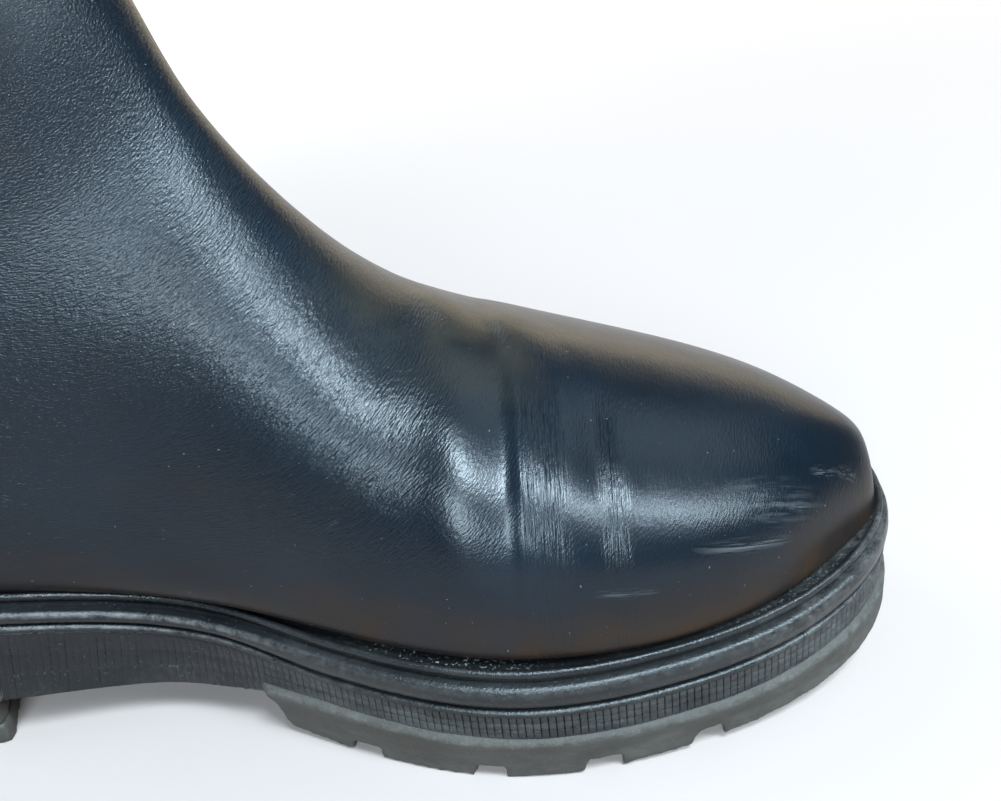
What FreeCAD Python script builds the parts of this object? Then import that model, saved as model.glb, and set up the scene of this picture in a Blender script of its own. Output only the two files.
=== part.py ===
import FreeCAD, Part
import math
import os

# Ankle-high pull-on boot for the left foot, all lengths in millimetres.
# Toe points to +X, the inner (medial) side faces -Y, the ground is z = 0.
# The origin lies on the ground under the middle of the sole's box.

V = FreeCAD.Vector

# ---------------------------------------------------------------- driving sizes
leather = 2.0            # outer leather
skin_gap = 0.1           # air between neighbouring skins
middle = 1.0             # toe puff, heel counter, interlining and gore web
lining = 1.0             # lining skin
board = 2.5              # insole board
sock = 2.3               # full-length sock lining
pad = 2.0                # heel pad on top of the sock lining

welt_height = 2.0
midsole_bottom = 17.2    # depth of the midsole's lower face under the welt's top
tread_groove = 2.8       # depth of the grooves and edge notches
heel_top_height = 6.0    # lugged top piece of the heel
heel_breast = -62.0      # x of the heel's front face
waist_rear = -56.0       # between these the lower wall is flush with the reeded band
waist_front = 4.0
waist_recess = 1.4

margin = 17.0            # width of the lasting margin, from the widest outline
shank_width = 13.0
shank_thickness = 1.2
nail_radius = 1.1

strip_half_width = 8.0   # back strip
tab_width = 20.0         # pull loop
tab_thickness = 1.1
binding = 0.65           # topline tape

# Widest outline of the sole, seen from above, anticlockwise from the heel end.
OUTLINE = [
    (-142, 0), (-126, -27), (-97, -37), (-57, -37.5), (-17, -32), (23, -45),
    (58, -54), (93, -49), (123, -36), (139, -19), (142, -3),
    (137.5, 15), (119, 35), (91, 48), (54, 54), (17, 51.5), (-23, 45),
    (-63, 39.5), (-97, 38), (-126, 28),
]

# Height of the welt's upper face along the sole.
WELT_LINE = [
    (-152, 46.2), (-142, 46), (-97, 45), (-57, 42), (-17, 34.5), (23, 31.5),
    (53, 30), (93, 30), (123, 33), (142, 38), (152, 41.5),
]

# Underside of the lasted upper along its centre line.
SEAT_LINE = [
    (-152, 37.2), (-120, 37.0), (-100, 36.9), (-75, 36.6), (-53, 35.6), (-30, 33.6),
    (-8, 31.2), (10, 29.3), (29, 27.8), (59, 26.6), (86, 26.8), (108, 28.0),
    (126, 30.4), (152, 35.5),
]

# Stations of the lasted shape.  Each is a flat ring that fans from the toe,
# round the instep and up the shaft: x and z of its upper end, x and z of its
# lower end, blend from forepart to shaft section, width scale, ridge offset.
STATIONS = [
    (137.0, 42.6, 137.0, 41.2, 0, 0.00, -3),
    (137.3, 44.4, 137.6, 37.6, 0, 0.24, -3),
    (137.9, 47.4, 140.4, 33.0, 0, 0.52, -3),
    (129.2, 53.8, 131.0, 31.0, 0, 0.80, -3),
    (117.0, 60.3, 118.0, 28.5, 0, 0.94, -4),
    (100.0, 65.8, 100.0, 27.0, 0, 1.00, -5),
    (81.0, 71.7, 80.0, 26.0, 0, 1.00, -5),
    (61.0, 79.3, 56.0, 26.0, 0, 1.00, -5),
    (43.0, 85.7, 30.0, 27.0, 0, 1.00, -4),
    (32.0, 95.7, 0.0, 29.5, 0, 1.00, -3),
    (21.0, 109.3, -38.0, 34.0, 0.04, 1.00, -2),
    (12.2, 122.9, -84.0, 36.8, 0.12, 1.00, -1),
    (6.0, 135.0, -143.0, 34.5, 0.28, 1.00, 0),
    (1.5, 149.0, -142.0, 66.0, 0.68, 1.00, 0),
    (-3.5, 163.0, -129.0, 108.0, 1, 1.00, 0),
    (-8.5, 178.0, -125.0, 145.0, 1, 1.00, 0),
    (-12.5, 195.0, -128.0, 188.0, 1, 1.00, 0),
    (-15.5, 212.0, -131.0, 208.0, 1, 1.00, 0),
]
RING_LEVELS = [0.04, 0.22, 0.5, 0.78, 1.0]
RING_FOREPART = [0.34, 0.80, 1.0, 1.0, 1.08]
RING_SHAFT = [0.36, 0.82, 1.0, 0.84, 0.36]
RING_HEEL = [0.0, 0.0, 0.03, 0.12, 0.36]     # extra fullness round the heel
toe_fold_x = 100.0       # ahead of this the skins also step back along x

# Side-view lines, as (x, z).
TOPLINE = [(-160, 194), (-131, 192), (-100, 188), (-70, 187), (-40, 189), (-10, 194), (20, 198)]
SIDE_SEAM = [(-64, 10), (-68, 45), (-71, 70), (-73, 90), (-71, 140), (-70, 240)]
GORE = [
    (-42, 212), (-46, 165), (-54, 120), (-62, 97), (-72, 88),
    (-82, 97), (-90, 120), (-96, 165), (-99, 212),
]
COUNTER_LINE = [(-160, 92), (-125, 92), (-105, 84), (-88, 62), (-80, 30)]
gore_tuck = 7.0          # how far the gore reaches behind the leather

puff_rear_x = 92.0
heel_pad_front_x = -82.0


# ---------------------------------------------------------------- plain helpers
def cubic(points, closed=False):
    """Smooth curve through points."""
    curve = Part.BSplineCurve()
    curve.interpolate(Points=[V(*p) for p in points], PeriodicFlag=closed)
    return curve


def flat_points(points, z=0.0):
    return [(p[0], p[1], z) for p in points]


def side_points(points, y=0.0, lift=0.0):
    return [(p[0], y, p[1] + lift) for p in points]


def smooth(t):
    t = max(0.0, min(1.0, t))
    return t * t * (3 - 2 * t)


def solid_from(shape):
    """The single solid of a boolean result."""
    solids = sorted(shape.Solids, key=lambda s: -s.Volume)
    return solids[0]


def solids_from(shape, smallest=5.0):
    kept = [s for s in shape.Solids if s.Volume > smallest]
    if len(kept) == 1:
        return kept[0]
    return Part.makeCompound(kept)


# ---------------------------------------------------------------- sole outlines
outline_curve = cubic(flat_points(OUTLINE), True)


def outline_points(inset, count=96):
    """Points of the outline moved inward by inset."""
    first = outline_curve.FirstParameter
    span = outline_curve.LastParameter - first
    points = []
    for i in range(count):
        t = first + span * i / count
        p = outline_curve.value(t)
        d = outline_curve.tangent(t)[0]
        points.append((p.x - d.y * inset, p.y + d.x * inset))
    return points


def outline_wire(inset, z):
    curve = cubic(flat_points(outline_points(inset), z), True)
    return Part.Wire([curve.toShape()])


def prism(inset, low=-5.0, high=90.0):
    """Upright block inside the outline."""
    return Part.Face(outline_wire(inset, low)).extrude(V(0, 0, high - low))


def drafted(inset_low, inset_high, low, high):
    """Block whose wall leans from one inset to another."""
    return Part.makeLoft([outline_wire(inset_low, low), outline_wire(inset_high, high)], True, True)


def slab(upper, up_shift, lower, low_shift, smooth_lower=True, half=75.0):
    """Everything between two side-view lines, right across the boot."""
    top = cubic(side_points(upper, -half, up_shift)).toShape()
    if smooth_lower:
        bottom = cubic(side_points(lower, -half, low_shift)).toShape()
    else:
        bottom = Part.makePolygon([V(*p) for p in side_points(lower, -half, low_shift)])
    a0 = V(upper[0][0], -half, upper[0][1] + up_shift)
    a1 = V(upper[-1][0], -half, upper[-1][1] + up_shift)
    b0 = V(lower[0][0], -half, lower[0][1] + low_shift)
    b1 = V(lower[-1][0], -half, lower[-1][1] + low_shift)
    edges = top.Edges + bottom.Edges
    edges += [Part.makeLine(a0, b0), Part.makeLine(a1, b1)]
    wire = Part.Wire(Part.__sortEdges__(edges))
    return Part.Face(wire).extrude(V(0, 2 * half, 0))


def side_block(lines, half=75.0, y0=None, y1=None):
    """Block with a side-view outline made of smooth and straight runs."""
    y0 = -half if y0 is None else y0
    y1 = half if y1 is None else y1
    edges = []
    ends = []
    for points in lines:
        places = side_points(points, y0)
        if len(points) > 2:
            edges += cubic(places).toShape().Edges
        else:
            edges.append(Part.makeLine(V(*places[0]), V(*places[1])))
        ends.append((places[0], places[-1]))
    wire = Part.Wire(Part.__sortEdges__(edges))
    return Part.Face(wire).extrude(V(0, y1 - y0, 0))


def box(x0, x1, y0, y1, z0, z1):
    return Part.makeBox(x1 - x0, y1 - y0, z1 - z0, V(x0, y0, z0))


# ---------------------------------------------------------------- lasted shape
def half_width_table(side):
    first = outline_curve.FirstParameter
    span = outline_curve.LastParameter - first
    table = []
    for i in range(720):
        p = outline_curve.value(first + span * i / 720.0)
        if (p.y < 0) == (side < 0):
            table.append((p.x, abs(p.y)))
    table.sort()
    return table


WIDTH_TABLE = {-1: half_width_table(-1), 1: half_width_table(1)}


def half_width(x, side):
    table = WIDTH_TABLE[side]
    if x <= table[0][0]:
        return table[0][1]
    for (xa, ya), (xb, yb) in zip(table, table[1:]):
        if x <= xb:
            return ya + (yb - ya) * (x - xa) / max(1e-9, xb - xa)
    return table[-1][1]


def plateau(x, z, side):
    """Half width of the foot and shaft at a place in the side view."""
    low = half_width(max(-125.0, min(133.0, x)), side) - 3.5
    shaft = 36.0
    t = smooth((z - 52.0) / 73.0)
    ankle = -5.0 * math.exp(-((z - 98.0) / 26.0) ** 2) * math.exp(-((x + 95.0) / 40.0) ** 2)
    return low * (1 - t) + shaft * t + ankle


def control_net(inset):
    rings = []
    tip_x = STATIONS[0][0]
    for xt, zt, xb, zb, back, scale, ridge in STATIONS:
        length = math.hypot(xb - xt, zb - zt)
        ux = (xb - xt) / length
        uz = (zb - zt) / length
        step = min(inset, 0.35 * length)
        top = (xt + step * ux, zt + step * uz)
        low = (xb - step * ux, zb - step * uz)
        sides = {-1: [], 1: []}
        for side in (-1, 1):
            levels = zip(RING_LEVELS, RING_FOREPART, RING_SHAFT, RING_HEEL)
            for a, f_fore, f_shaft, f_heel in levels:
                x = top[0] + a * (low[0] - top[0])
                z = top[1] + a * (low[1] - top[1])
                f = f_fore * (1 - back) + f_shaft * back
                if xb < -60:
                    f += f_heel * 4 * back * (1 - back)
                w = (plateau(x, z, side) - inset) * f * scale if scale > 0 else 0.5
                sides[side].append((x, side * w + ridge * (1 - min(1.0, f)), z))
        ring = [(top[0], ridge, top[1])] + sides[-1] + [(low[0], 0.0, low[1])] + sides[1][::-1]
        moved = []
        for x, y, z in ring:
            if x > toe_fold_x:
                x = toe_fold_x + (x - toe_fold_x) * (1 - inset / (tip_x - toe_fold_x))
            moved.append(V(x, y, z))
        rings.append(moved)
    return rings


def skin_surface(inset):
    net = control_net(inset)
    count_u = len(net)
    count_v = len(net[0])
    spans = count_u - 3
    knots_u = [i / float(spans) for i in range(spans + 1)]
    mults_u = [4] + [1] * (spans - 1) + [4]
    knots_v = [i / float(count_v) for i in range(count_v + 1)]
    mults_v = [1] * (count_v + 1)
    surface = Part.BSplineSurface()
    surface.buildFromPolesMultsKnots(net, mults_u, mults_v, knots_u, knots_v, False, True, 3, 3)
    return surface


def lasted_body(inset):
    """Closed body bounded by the skin at this depth below the outer leather face."""
    surface = skin_surface(inset)
    face = surface.toShape()
    caps = []
    for u in (0.0, 1.0):
        rim = Part.Wire([surface.uIso(u).toShape()])
        caps.append(Part.Face(rim))
    shell = Part.makeShell([face] + caps)
    shell.sewShape()
    solid = Part.makeSolid(shell)
    if solid.Volume < 0:
        solid.reverse()
    return solid


d_leather = leather
d_mid0 = leather + skin_gap
d_mid1 = d_mid0 + middle
d_lin0 = d_mid1 + skin_gap
d_lin1 = d_lin0 + lining
d_foot = d_lin1 + skin_gap

bodies = {}
for name, depth in (
    ("seat", -0.05), ("outer", 0.0), ("leather_in", d_leather), ("mid_out", d_mid0),
    ("mid_in", d_mid1), ("lin_out", d_lin0), ("lin_in", d_lin1), ("foot", d_foot),
):
    bodies[name] = lasted_body(depth)

leather_skin = bodies["outer"].cut(bodies["leather_in"])
middle_skin = bodies["mid_out"].cut(bodies["mid_in"])
lining_skin = bodies["lin_out"].cut(bodies["lin_in"])

# ---------------------------------------------------------------- cutting shapes
below_topline = side_block([TOPLINE, [TOPLINE[-1], (200, 200)], [(200, 200), (200, 0)],
                            [(200, 0), (-160, 0)], [(-160, 0), TOPLINE[0]]])
window = prism(margin).common(slab(SEAT_LINE, 6.5, SEAT_LINE, -8.0))


def gore_block(grow, y0, y1):
    """Gore outline, grown outward, as a block between two y planes."""
    centre = -70.5
    points = []
    for x, z in GORE:
        side = 1.0 if x > centre else -1.0
        dz = grow if z < 100 else grow * 0.35
        dz = dz if z < 150 else 0.0
        dx = side * grow if abs(x + 72) > 4 else 0.0
        points.append((x + dx, z - dz))
    return side_block([points, [points[-1], points[0]]], y0=y0, y1=y1)


def front_of(line, gap):
    points = [(x + gap, z) for x, z in line]
    return side_block([points, [points[-1], (260, 240)], [(260, 240), (260, 10)],
                       [(260, 10), points[0]]])


def behind(line, gap):
    points = [(x - gap, z) for x, z in line]
    return side_block([points, [points[-1], (-260, 240)], [(-260, 240), (-260, 10)],
                       [(-260, 10), points[0]]])


parts = {}

# ---------------------------------------------------------------- outer leather
upper_leather = leather_skin.common(below_topline).cut(window)
upper_leather = upper_leather.cut(gore_block(0.0, -75, 75))
parts["vamp"] = solid_from(upper_leather.common(front_of(SIDE_SEAM, 0.08)))
quarters = upper_leather.common(behind(SIDE_SEAM, 0.08))
parts["quarter_medial"] = solid_from(quarters.common(box(-200, 0, -80, -0.08, 0, 250)))
parts["quarter_lateral"] = solid_from(quarters.common(box(-200, 0, 0.08, 80, 0, 250)))

# ---------------------------------------------------------------- middle layer
middle_trim = middle_skin.common(below_topline).cut(window)
for name, y0, y1 in (("gore_medial", -75, -2), ("gore_lateral", 2, 75)):
    parts[name] = solid_from(middle_trim.common(gore_block(gore_tuck, y0, y1)))

counter_block = side_block([COUNTER_LINE, [COUNTER_LINE[-1], (-160, 30)], [(-160, 30), COUNTER_LINE[0]]])
parts["heel_counter"] = solid_from(middle_trim.common(counter_block))
parts["toe_puff"] = solid_from(middle_trim.common(box(puff_rear_x, 200, -80, 80, 0, 120)))
front_lining = middle_trim.common(front_of([(x + 1, z) for x, z in SIDE_SEAM], 0.5))
front_lining = front_lining.cut(gore_block(gore_tuck + 0.6, -75, 75))
parts["vamp_interlining"] = solid_from(
    front_lining.common(box(-100, puff_rear_x - 0.5, -80, 80, 0, 250)))

# ---------------------------------------------------------------- lining layer
lining_trim = lining_skin.common(below_topline).cut(window)
lining_trim = lining_trim.cut(gore_block(0.0, -75, 75))
parts["vamp_lining"] = solid_from(lining_trim.common(front_of(SIDE_SEAM, 0.08)))
parts["quarter_lining"] = solid_from(lining_trim.common(behind(SIDE_SEAM, 0.08)))

# ---------------------------------------------------------------- foot bed
def bed(low, high, shrink=None):
    layer = bodies["foot"].common(slab(SEAT_LINE, high, SEAT_LINE, low))
    return layer if shrink is None else layer.common(prism(shrink))


board_top = d_foot + board
sock_top = board_top + skin_gap + sock
parts["sock_lining"] = solid_from(bed(board_top + skin_gap, sock_top))
heel_oval = Part.makeCylinder(30.0, 200, V(0, 0, 0))
stretch = FreeCAD.Matrix()
stretch.scale(V(1.25, 0.88, 1))
heel_oval = heel_oval.transformGeometry(stretch)
heel_oval.translate(V(-92, 0.5, 0))
parts["heel_pad"] = solid_from(bed(sock_top + 0.05, sock_top + 0.05 + pad).common(heel_oval))

# ---------------------------------------------------------------- bottom filling
core = bodies["outer"].cut(bodies["foot"])
core = core.common(prism(margin + 0.3)).common(slab(SEAT_LINE, 6.4, SEAT_LINE, -8.0))
parts["forepart_filler"] = solid_from(core.common(box(2.0, 200, -80, 80, 0, 90)))
rear_core = solid_from(core.common(box(-200, 1.7, -80, 80, 0, 90)))

shank_mid = 1.9
shank_plan = Part.makeCylinder(shank_width / 2, 90, V(-103, 0, 0))
shank_plan = shank_plan.fuse(Part.makeCylinder(shank_width / 2, 90, V(-8, 2, 0)))
shank_plan = shank_plan.fuse(Part.Face(Part.makePolygon([
    V(-103, -shank_width / 2, 0), V(-8, 2 - shank_width / 2, 0),
    V(-8, 2 + shank_width / 2, 0), V(-103, shank_width / 2, 0),
    V(-103, -shank_width / 2, 0)])).extrude(V(0, 0, 90)))


def shank_body(extra):
    return shank_plan.common(slab(SEAT_LINE, shank_mid + shank_thickness / 2 + extra,
                                  SEAT_LINE, shank_mid - shank_thickness / 2 - extra))


parts["shank"] = solid_from(shank_body(0.0))
parts["insole_board"] = solid_from(bed(-12.0, board_top).cut(shank_body(0.05)))   # channel for the shank
parts["rear_filler"] = solid_from(rear_core.cut(shank_body(0.05)))

# ---------------------------------------------------------------- sole unit
welt = slab(WELT_LINE, 0.0, WELT_LINE, -welt_height).common(prism(1.9))
parts["welt"] = solid_from(welt.cut(bodies["seat"]))

midsole = slab(WELT_LINE, -welt_height - 0.05, WELT_LINE, -midsole_bottom).common(prism(2.6))
for upper_z, lower_z, inset in ((-3.2, -8.5, 0.4), (-9.6, -11.3, 0.7), (-11.0, -midsole_bottom, 1.4)):
    ring = slab(WELT_LINE, upper_z, WELT_LINE, lower_z).common(prism(inset))
    midsole = midsole.fuse(ring)
parts["midsole"] = solid_from(midsole.cut(bodies["seat"]))

TREAD_LINE = [
    (-152, 13.5), (-57, 13.5), (-31, 11.6), (-9, 10.9), (2.5, 11.3), (5.3, 11.2), (6.0, 9.4),
    (7.4, 3.2), (8.6, 2.2), (16, 1.0), (24, 0.1), (32, 0.0), (60, 0.0), (78, 0.5), (93, 1.5),
    (108, 2.9), (123, 4.8), (133, 7.2), (142, 10.3), (152, 14.5),
]
TREAD_FRONT = TREAD_LINE[8:]     # the lugged forepart

lower_wall = drafted(2.4, 0.0, 0.0, 12.0)
upper_wall = prism(0.0)
tall = slab(WELT_LINE, -midsole_bottom - 1.3, TREAD_LINE, 0.0, False)
low_piece = tall.common(lower_wall).common(box(waist_front, 150, -80, 80, -1, 12.0))
high_piece = tall.common(upper_wall).common(box(waist_front, 150, -80, 80, 12.0, 60))
seat_piece = tall.common(upper_wall).common(box(-150, waist_rear, -80, 80, 12.0, 60))
waist_piece = tall.common(prism(waist_recess)).common(box(waist_rear, waist_front, -80, 80, 5, 60))
rim = slab(WELT_LINE, -midsole_bottom - 0.05, WELT_LINE, -midsole_bottom - 1.3).common(prism(0.7))
rim = rim.cut(box(waist_rear, waist_front, -80, 80, 5, 60).cut(prism(waist_recess)))
outsole = low_piece.fuse([high_piece, waist_piece, seat_piece, rim])

# Shallow edge notches and tread grooves, following the toe spring.
groove_zone = slab(TREAD_FRONT, tread_groove, TREAD_FRONT, -3.0)


def groove_bar(x, y, length, width, angle):
    bar = Part.makeBox(length, width, 30, V(-length / 2, -width / 2, -5))
    bar.rotate(V(0, 0, 0), V(0, 0, 1), angle)
    bar.translate(V(x, y, 0))
    return bar


NOTCHES = [(26, 6.4), (53, 6.3), (76.5, 7.4), (98.5, 5.6)]     # x and width
bars = []
for x, width in NOTCHES:
    reach = 21.0
    bars.append(groove_bar(x, -half_width(x, -1) + reach / 2 - 4, reach + 8, width, 84))
    bars.append(groove_bar(x + 2, half_width(x, 1) - reach / 2 + 4, reach + 8, width, -84))
for x in (24, 40, 65, 88, 112):
    bars.append(groove_bar(x, -6, 22, 4.4, 62))
    bars.append(groove_bar(x, 8, 22, 4.4, -62))
for x in range(18, 122, 17):
    sway = 3.0 if (x // 17) % 2 else -3.0
    scale = min(half_width(x, -1), half_width(x, 1)) * 0.44
    bars.append(groove_bar(x, -scale + sway * 0.4, 20, 3.6, 12 if sway > 0 else -12))
    bars.append(groove_bar(x, scale + sway * 0.4, 20, 3.6, -12 if sway > 0 else 12))
pattern = bars[0].multiFuse(bars[1:])
outsole = outsole.cut(pattern.common(groove_zone))
parts["outsole"] = solid_from(outsole)

# ---------------------------------------------------------------- heel
breast = Part.makeCylinder(90, 60, V(heel_breast + 88, 0, -10))
heel_space = box(-160, heel_breast + 4, -60, 60, -1, 13.45).cut(breast)
heel_wall = drafted(2.6, 1.0, 0.0, 13.5)
heel = heel_space.common(heel_wall)
parts["heel_block"] = solid_from(heel.common(box(-160, 0, -60, 60, heel_top_height + 0.05, 13.45)))
top_piece = solid_from(heel.common(box(-160, 0, -60, 60, 0, heel_top_height)))
heel_bars = []
for x in (-124, -104, -84):
    heel_bars.append(groove_bar(x, -34, 26, 5.6, 84))
    heel_bars.append(groove_bar(x, 34, 26, 5.6, -84))
for x in (-130, -112, -94, -76):
    heel_bars.append(groove_bar(x, -5, 18, 4.2, 62))
    heel_bars.append(groove_bar(x, 5, 18, 4.2, -62))
heel_pattern = heel_bars[0].multiFuse(heel_bars[1:])
heel_pattern = heel_pattern.common(box(-160, 0, -60, 60, -2, tread_groove))
parts["heel_top_piece"] = solid_from(top_piece.cut(heel_pattern))

# Heel nails: heads on the insole board, points in the heel block.
nails = []
nail_holes = []
for x, y in ((-121, 0), (-110, 11), (-110, -11), (-92, 14), (-92, -14)):
    seat_z = 42.8
    shaft = Part.makeCylinder(nail_radius, seat_z - 8.6, V(x, y, 9.2))
    nails.append(shaft)
    nail_holes.append(Part.makeCylinder(nail_radius + 0.05, 60, V(x, y, 9.1)))
holes = nail_holes[0].multiFuse(nail_holes[1:])
for name in ("heel_block", "outsole", "midsole", "rear_filler", "shank"):
    parts[name] = solid_from(parts[name].cut(holes))
parts["insole_board"] = solid_from(parts["insole_board"].cut(holes))
parts["heel_nails"] = Part.makeCompound(nails)

# ---------------------------------------------------------------- topline binding
tape_out = lasted_body(-0.05 - binding).cut(lasted_body(d_foot + binding))
band_high = slab(TOPLINE, binding + 0.1, TOPLINE, -5.5)
band_low = slab(TOPLINE, 0.05, TOPLINE, -8.0)
tape_core = bodies["seat"].cut(bodies["foot"])
parts["topline_binding"] = solid_from(tape_out.common(band_high).cut(tape_core.common(band_low)))

# ---------------------------------------------------------------- back strip
strip_skin = lasted_body(-1.15).cut(bodies["seat"])
strip_zone = slab(TOPLINE, -6.0, [(-160, 50), (-60, 50)], 0.0, False)
strip_plan = box(-160, -90, -strip_half_width, strip_half_width, 0, 250)
parts["back_strip"] = solid_from(strip_skin.common(strip_zone).common(strip_plan))

# ---------------------------------------------------------------- pull loop
tape_face = lasted_body(-2.4).cut(lasted_body(-1.25))
tab_plan = box(-160, -90, -tab_width / 2, tab_width / 2, 0, 250)
outer_end = tape_face.common(slab(TOPLINE, 0.6, [(-160, 163), (-60, 163)], 0.0, False))
inner_skin = lasted_body(d_foot + binding + 0.1).cut(lasted_body(d_foot + binding + 1.2))
inner_end = inner_skin.common(slab(TOPLINE, 0.6, [(-160, 172), (-60, 172)], 0.0, False))
ends = [solid_from(outer_end.common(tab_plan)), solid_from(inner_end.common(tab_plan))]
parts["pull_tab_ends"] = Part.makeCompound(ends)

tab_x = -126.3
tab_z = 194.2
TAB_SIDE = [(0.85, 0.9), (1.3, 6.0), (2.6, 12.0), (3.6, 18.0), (2.9, 23.5), (0.0, 26.0)]


def loop_points(half_shift):
    """Side-view line of the loop, moved outward by half_shift."""
    right = TAB_SIDE
    full = right + [(-x, z) for x, z in right[-2::-1]]
    curve = cubic([(x, 0, z) for x, z in full])
    points = []
    first = curve.FirstParameter
    span = curve.LastParameter - first
    for i in range(33):
        t = first + span * i / 32.0
        p = curve.value(t)
        d = curve.tangent(t)[0]
        points.append((tab_x + p.x + d.z * half_shift, tab_z + p.z - d.x * half_shift))
    return points


outside = loop_points(tab_thickness / 2)
inside = loop_points(-tab_thickness / 2)
parts["pull_tab"] = side_block(
    [outside, [outside[0], inside[0]], inside, [outside[-1], inside[-1]]],
    y0=-tab_width / 2, y1=tab_width / 2)

# ---------------------------------------------------------------- stitching
stitch_length = 2.5
stitch_pitch = 3.6
thread = 0.5


def stitch_at(point, along, normal):
    across = normal.cross(along)
    m = FreeCAD.Matrix(along.x, across.x, normal.x, point.x,
                       along.y, across.y, normal.y, point.y,
                       along.z, across.z, normal.z, point.z,
                       0, 0, 0, 1)
    block = Part.makeBox(stitch_length, thread, thread,
                         V(-stitch_length / 2, -thread / 2, 0))
    block.Placement = FreeCAD.Placement(m)
    return block


def stitch_row(depth, cutter, keep, lift=0.12):
    """Row of stitches where a cutting face meets the skin at a depth."""
    surface = skin_surface(depth)
    cut = surface.toShape().section(cutter)
    row = []
    for wire in Part.sortEdges(cut.Edges):
        run = Part.Wire(wire)
        count = int(run.Length / stitch_pitch)
        if count < 3:
            continue
        places = run.discretize(Number=2 * count + 1)
        for i in range(1, len(places) - 1, 2):
            p = places[i]
            if not keep(p):
                continue
            along = (places[i + 1] - places[i - 1]).normalize()
            u, v = surface.parameter(p)
            normal = surface.normal(u, v)
            outward = V(0, p.y, 0) if abs(p.y) > 12 else V(p.x + 70, 0, 0)
            if normal.dot(outward) < 0:
                normal = normal * -1
            along = (along - normal * along.dot(normal)).normalize()
            row.append(stitch_at(p + normal * lift, along, normal))
    return row


def side_sheet(points, y0=-75.0, y1=75.0):
    return cubic(side_points(points, y0)).toShape().extrude(V(0, y1 - y0, 0))


def top_limit(x):
    for (xa, za), (xb, zb) in zip(TOPLINE, TOPLINE[1:]):
        if xa <= x <= xb:
            return za + (zb - za) * (x - xa) / (xb - xa)
    return TOPLINE[-1][1]


def gore_line(grow):
    """Gore outline moved outward, for the stitch rows beside it."""
    curve = cubic(side_points(GORE))
    points = []
    first = curve.FirstParameter
    span = curve.LastParameter - first
    for i in range(25):
        t = first + span * i / 24.0
        p = curve.value(t)
        d = curve.tangent(t)[0]
        points.append((p.x - d.z * grow, p.z + d.x * grow))
    return points


line = gore_line(2.0)
if max(p[0] for p in line) < max(p[0] for p in GORE):
    line = gore_line(-2.0)
rows = stitch_row(0.0, side_sheet(line), lambda p: p.z < top_limit(p.x) - 7.5)
parts["gore_stitching"] = Part.makeCompound(rows)

seam_stitches = []
for shift in (2.2, 4.4):
    sheet = side_sheet([(x - shift, z) for x, z in SIDE_SEAM])
    seam_stitches += stitch_row(0.0, sheet, lambda p: 50.0 < p.z < 82.5)
parts["side_seam_stitching"] = Part.makeCompound(seam_stitches)

tape_sheet = side_sheet([(x, z - 3.6) for x, z in TOPLINE])
parts["topline_stitching"] = Part.makeCompound(stitch_row(
    -0.05 - binding, tape_sheet, lambda p: not (p.x < -110 and abs(p.y) < tab_width / 2 + 1.5)))

back_stitches = []
for y in (-strip_half_width + 1.8, strip_half_width - 1.8):
    sheet = Part.Face(Part.makePolygon([V(-200, y, 0), V(-90, y, 0), V(-90, y, 250),
                                        V(-200, y, 250), V(-200, y, 0)]))
    back_stitches += stitch_row(-1.15, sheet, lambda p: 53.0 < p.z < 160.5)
parts["back_strip_stitching"] = Part.makeCompound(back_stitches)

# ---------------------------------------------------------------- export
os.makedirs("parts", exist_ok=True)
for name, shape in parts.items():
    shape.exportStep("parts/" + name + ".step")
    print("%-22s solids %3d  volume %10.1f  valid %s  z %.1f..%.1f" % (
        name, len(shape.Solids), shape.Volume, shape.isValid(),
        shape.BoundBox.ZMin, shape.BoundBox.ZMax))
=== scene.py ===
import bpy
import math
import numpy as np
from mathutils import Matrix, Vector


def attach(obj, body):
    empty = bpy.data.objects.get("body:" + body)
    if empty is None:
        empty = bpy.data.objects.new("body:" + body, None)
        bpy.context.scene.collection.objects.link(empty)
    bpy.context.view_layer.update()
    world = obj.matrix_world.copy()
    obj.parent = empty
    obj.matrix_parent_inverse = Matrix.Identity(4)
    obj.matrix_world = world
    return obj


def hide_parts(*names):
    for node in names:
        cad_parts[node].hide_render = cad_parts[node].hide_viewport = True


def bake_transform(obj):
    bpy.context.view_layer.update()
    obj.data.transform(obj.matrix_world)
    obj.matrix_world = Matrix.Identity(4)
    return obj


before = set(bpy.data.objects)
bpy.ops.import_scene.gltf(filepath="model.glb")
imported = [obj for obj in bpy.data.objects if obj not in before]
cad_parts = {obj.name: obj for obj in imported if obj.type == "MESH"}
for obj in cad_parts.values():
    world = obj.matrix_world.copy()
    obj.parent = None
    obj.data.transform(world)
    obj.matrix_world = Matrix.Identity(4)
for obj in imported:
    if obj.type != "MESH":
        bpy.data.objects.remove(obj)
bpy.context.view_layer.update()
MM = 0.001
rng = np.random.default_rng(11)

# ------------------------------------------------------------------ driving numbers, mm
OUTLINE = [
    (-142, 0), (-126, -27), (-97, -37), (-57, -37.5), (-17, -32), (23, -45),
    (58, -54), (93, -49), (123, -36), (139, -19), (142, -3),
    (137.5, 15), (119, 35), (91, 48), (54, 54), (17, 51.5), (-23, 45),
    (-63, 39.5), (-97, 38), (-126, 28),
]
WELT_LINE = [
    (-152, 46.2), (-142, 46), (-97, 45), (-57, 42), (-17, 34.5), (23, 31.5),
    (53, 30), (93, 30), (123, 33), (142, 38), (152, 41.5),
]
TREAD_LINE = [
    (-152, 13.5), (-57, 13.5), (-31, 11.6), (-9, 10.9), (2.5, 11.3), (5.3, 11.2), (6.0, 9.4),
    (7.4, 3.2), (8.6, 2.2), (16, 1.0), (24, 0.1), (32, 0.0), (60, 0.0), (78, 0.5), (93, 1.5),
    (108, 2.9), (123, 4.8), (133, 7.2), (142, 10.3), (152, 14.5),
]
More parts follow.
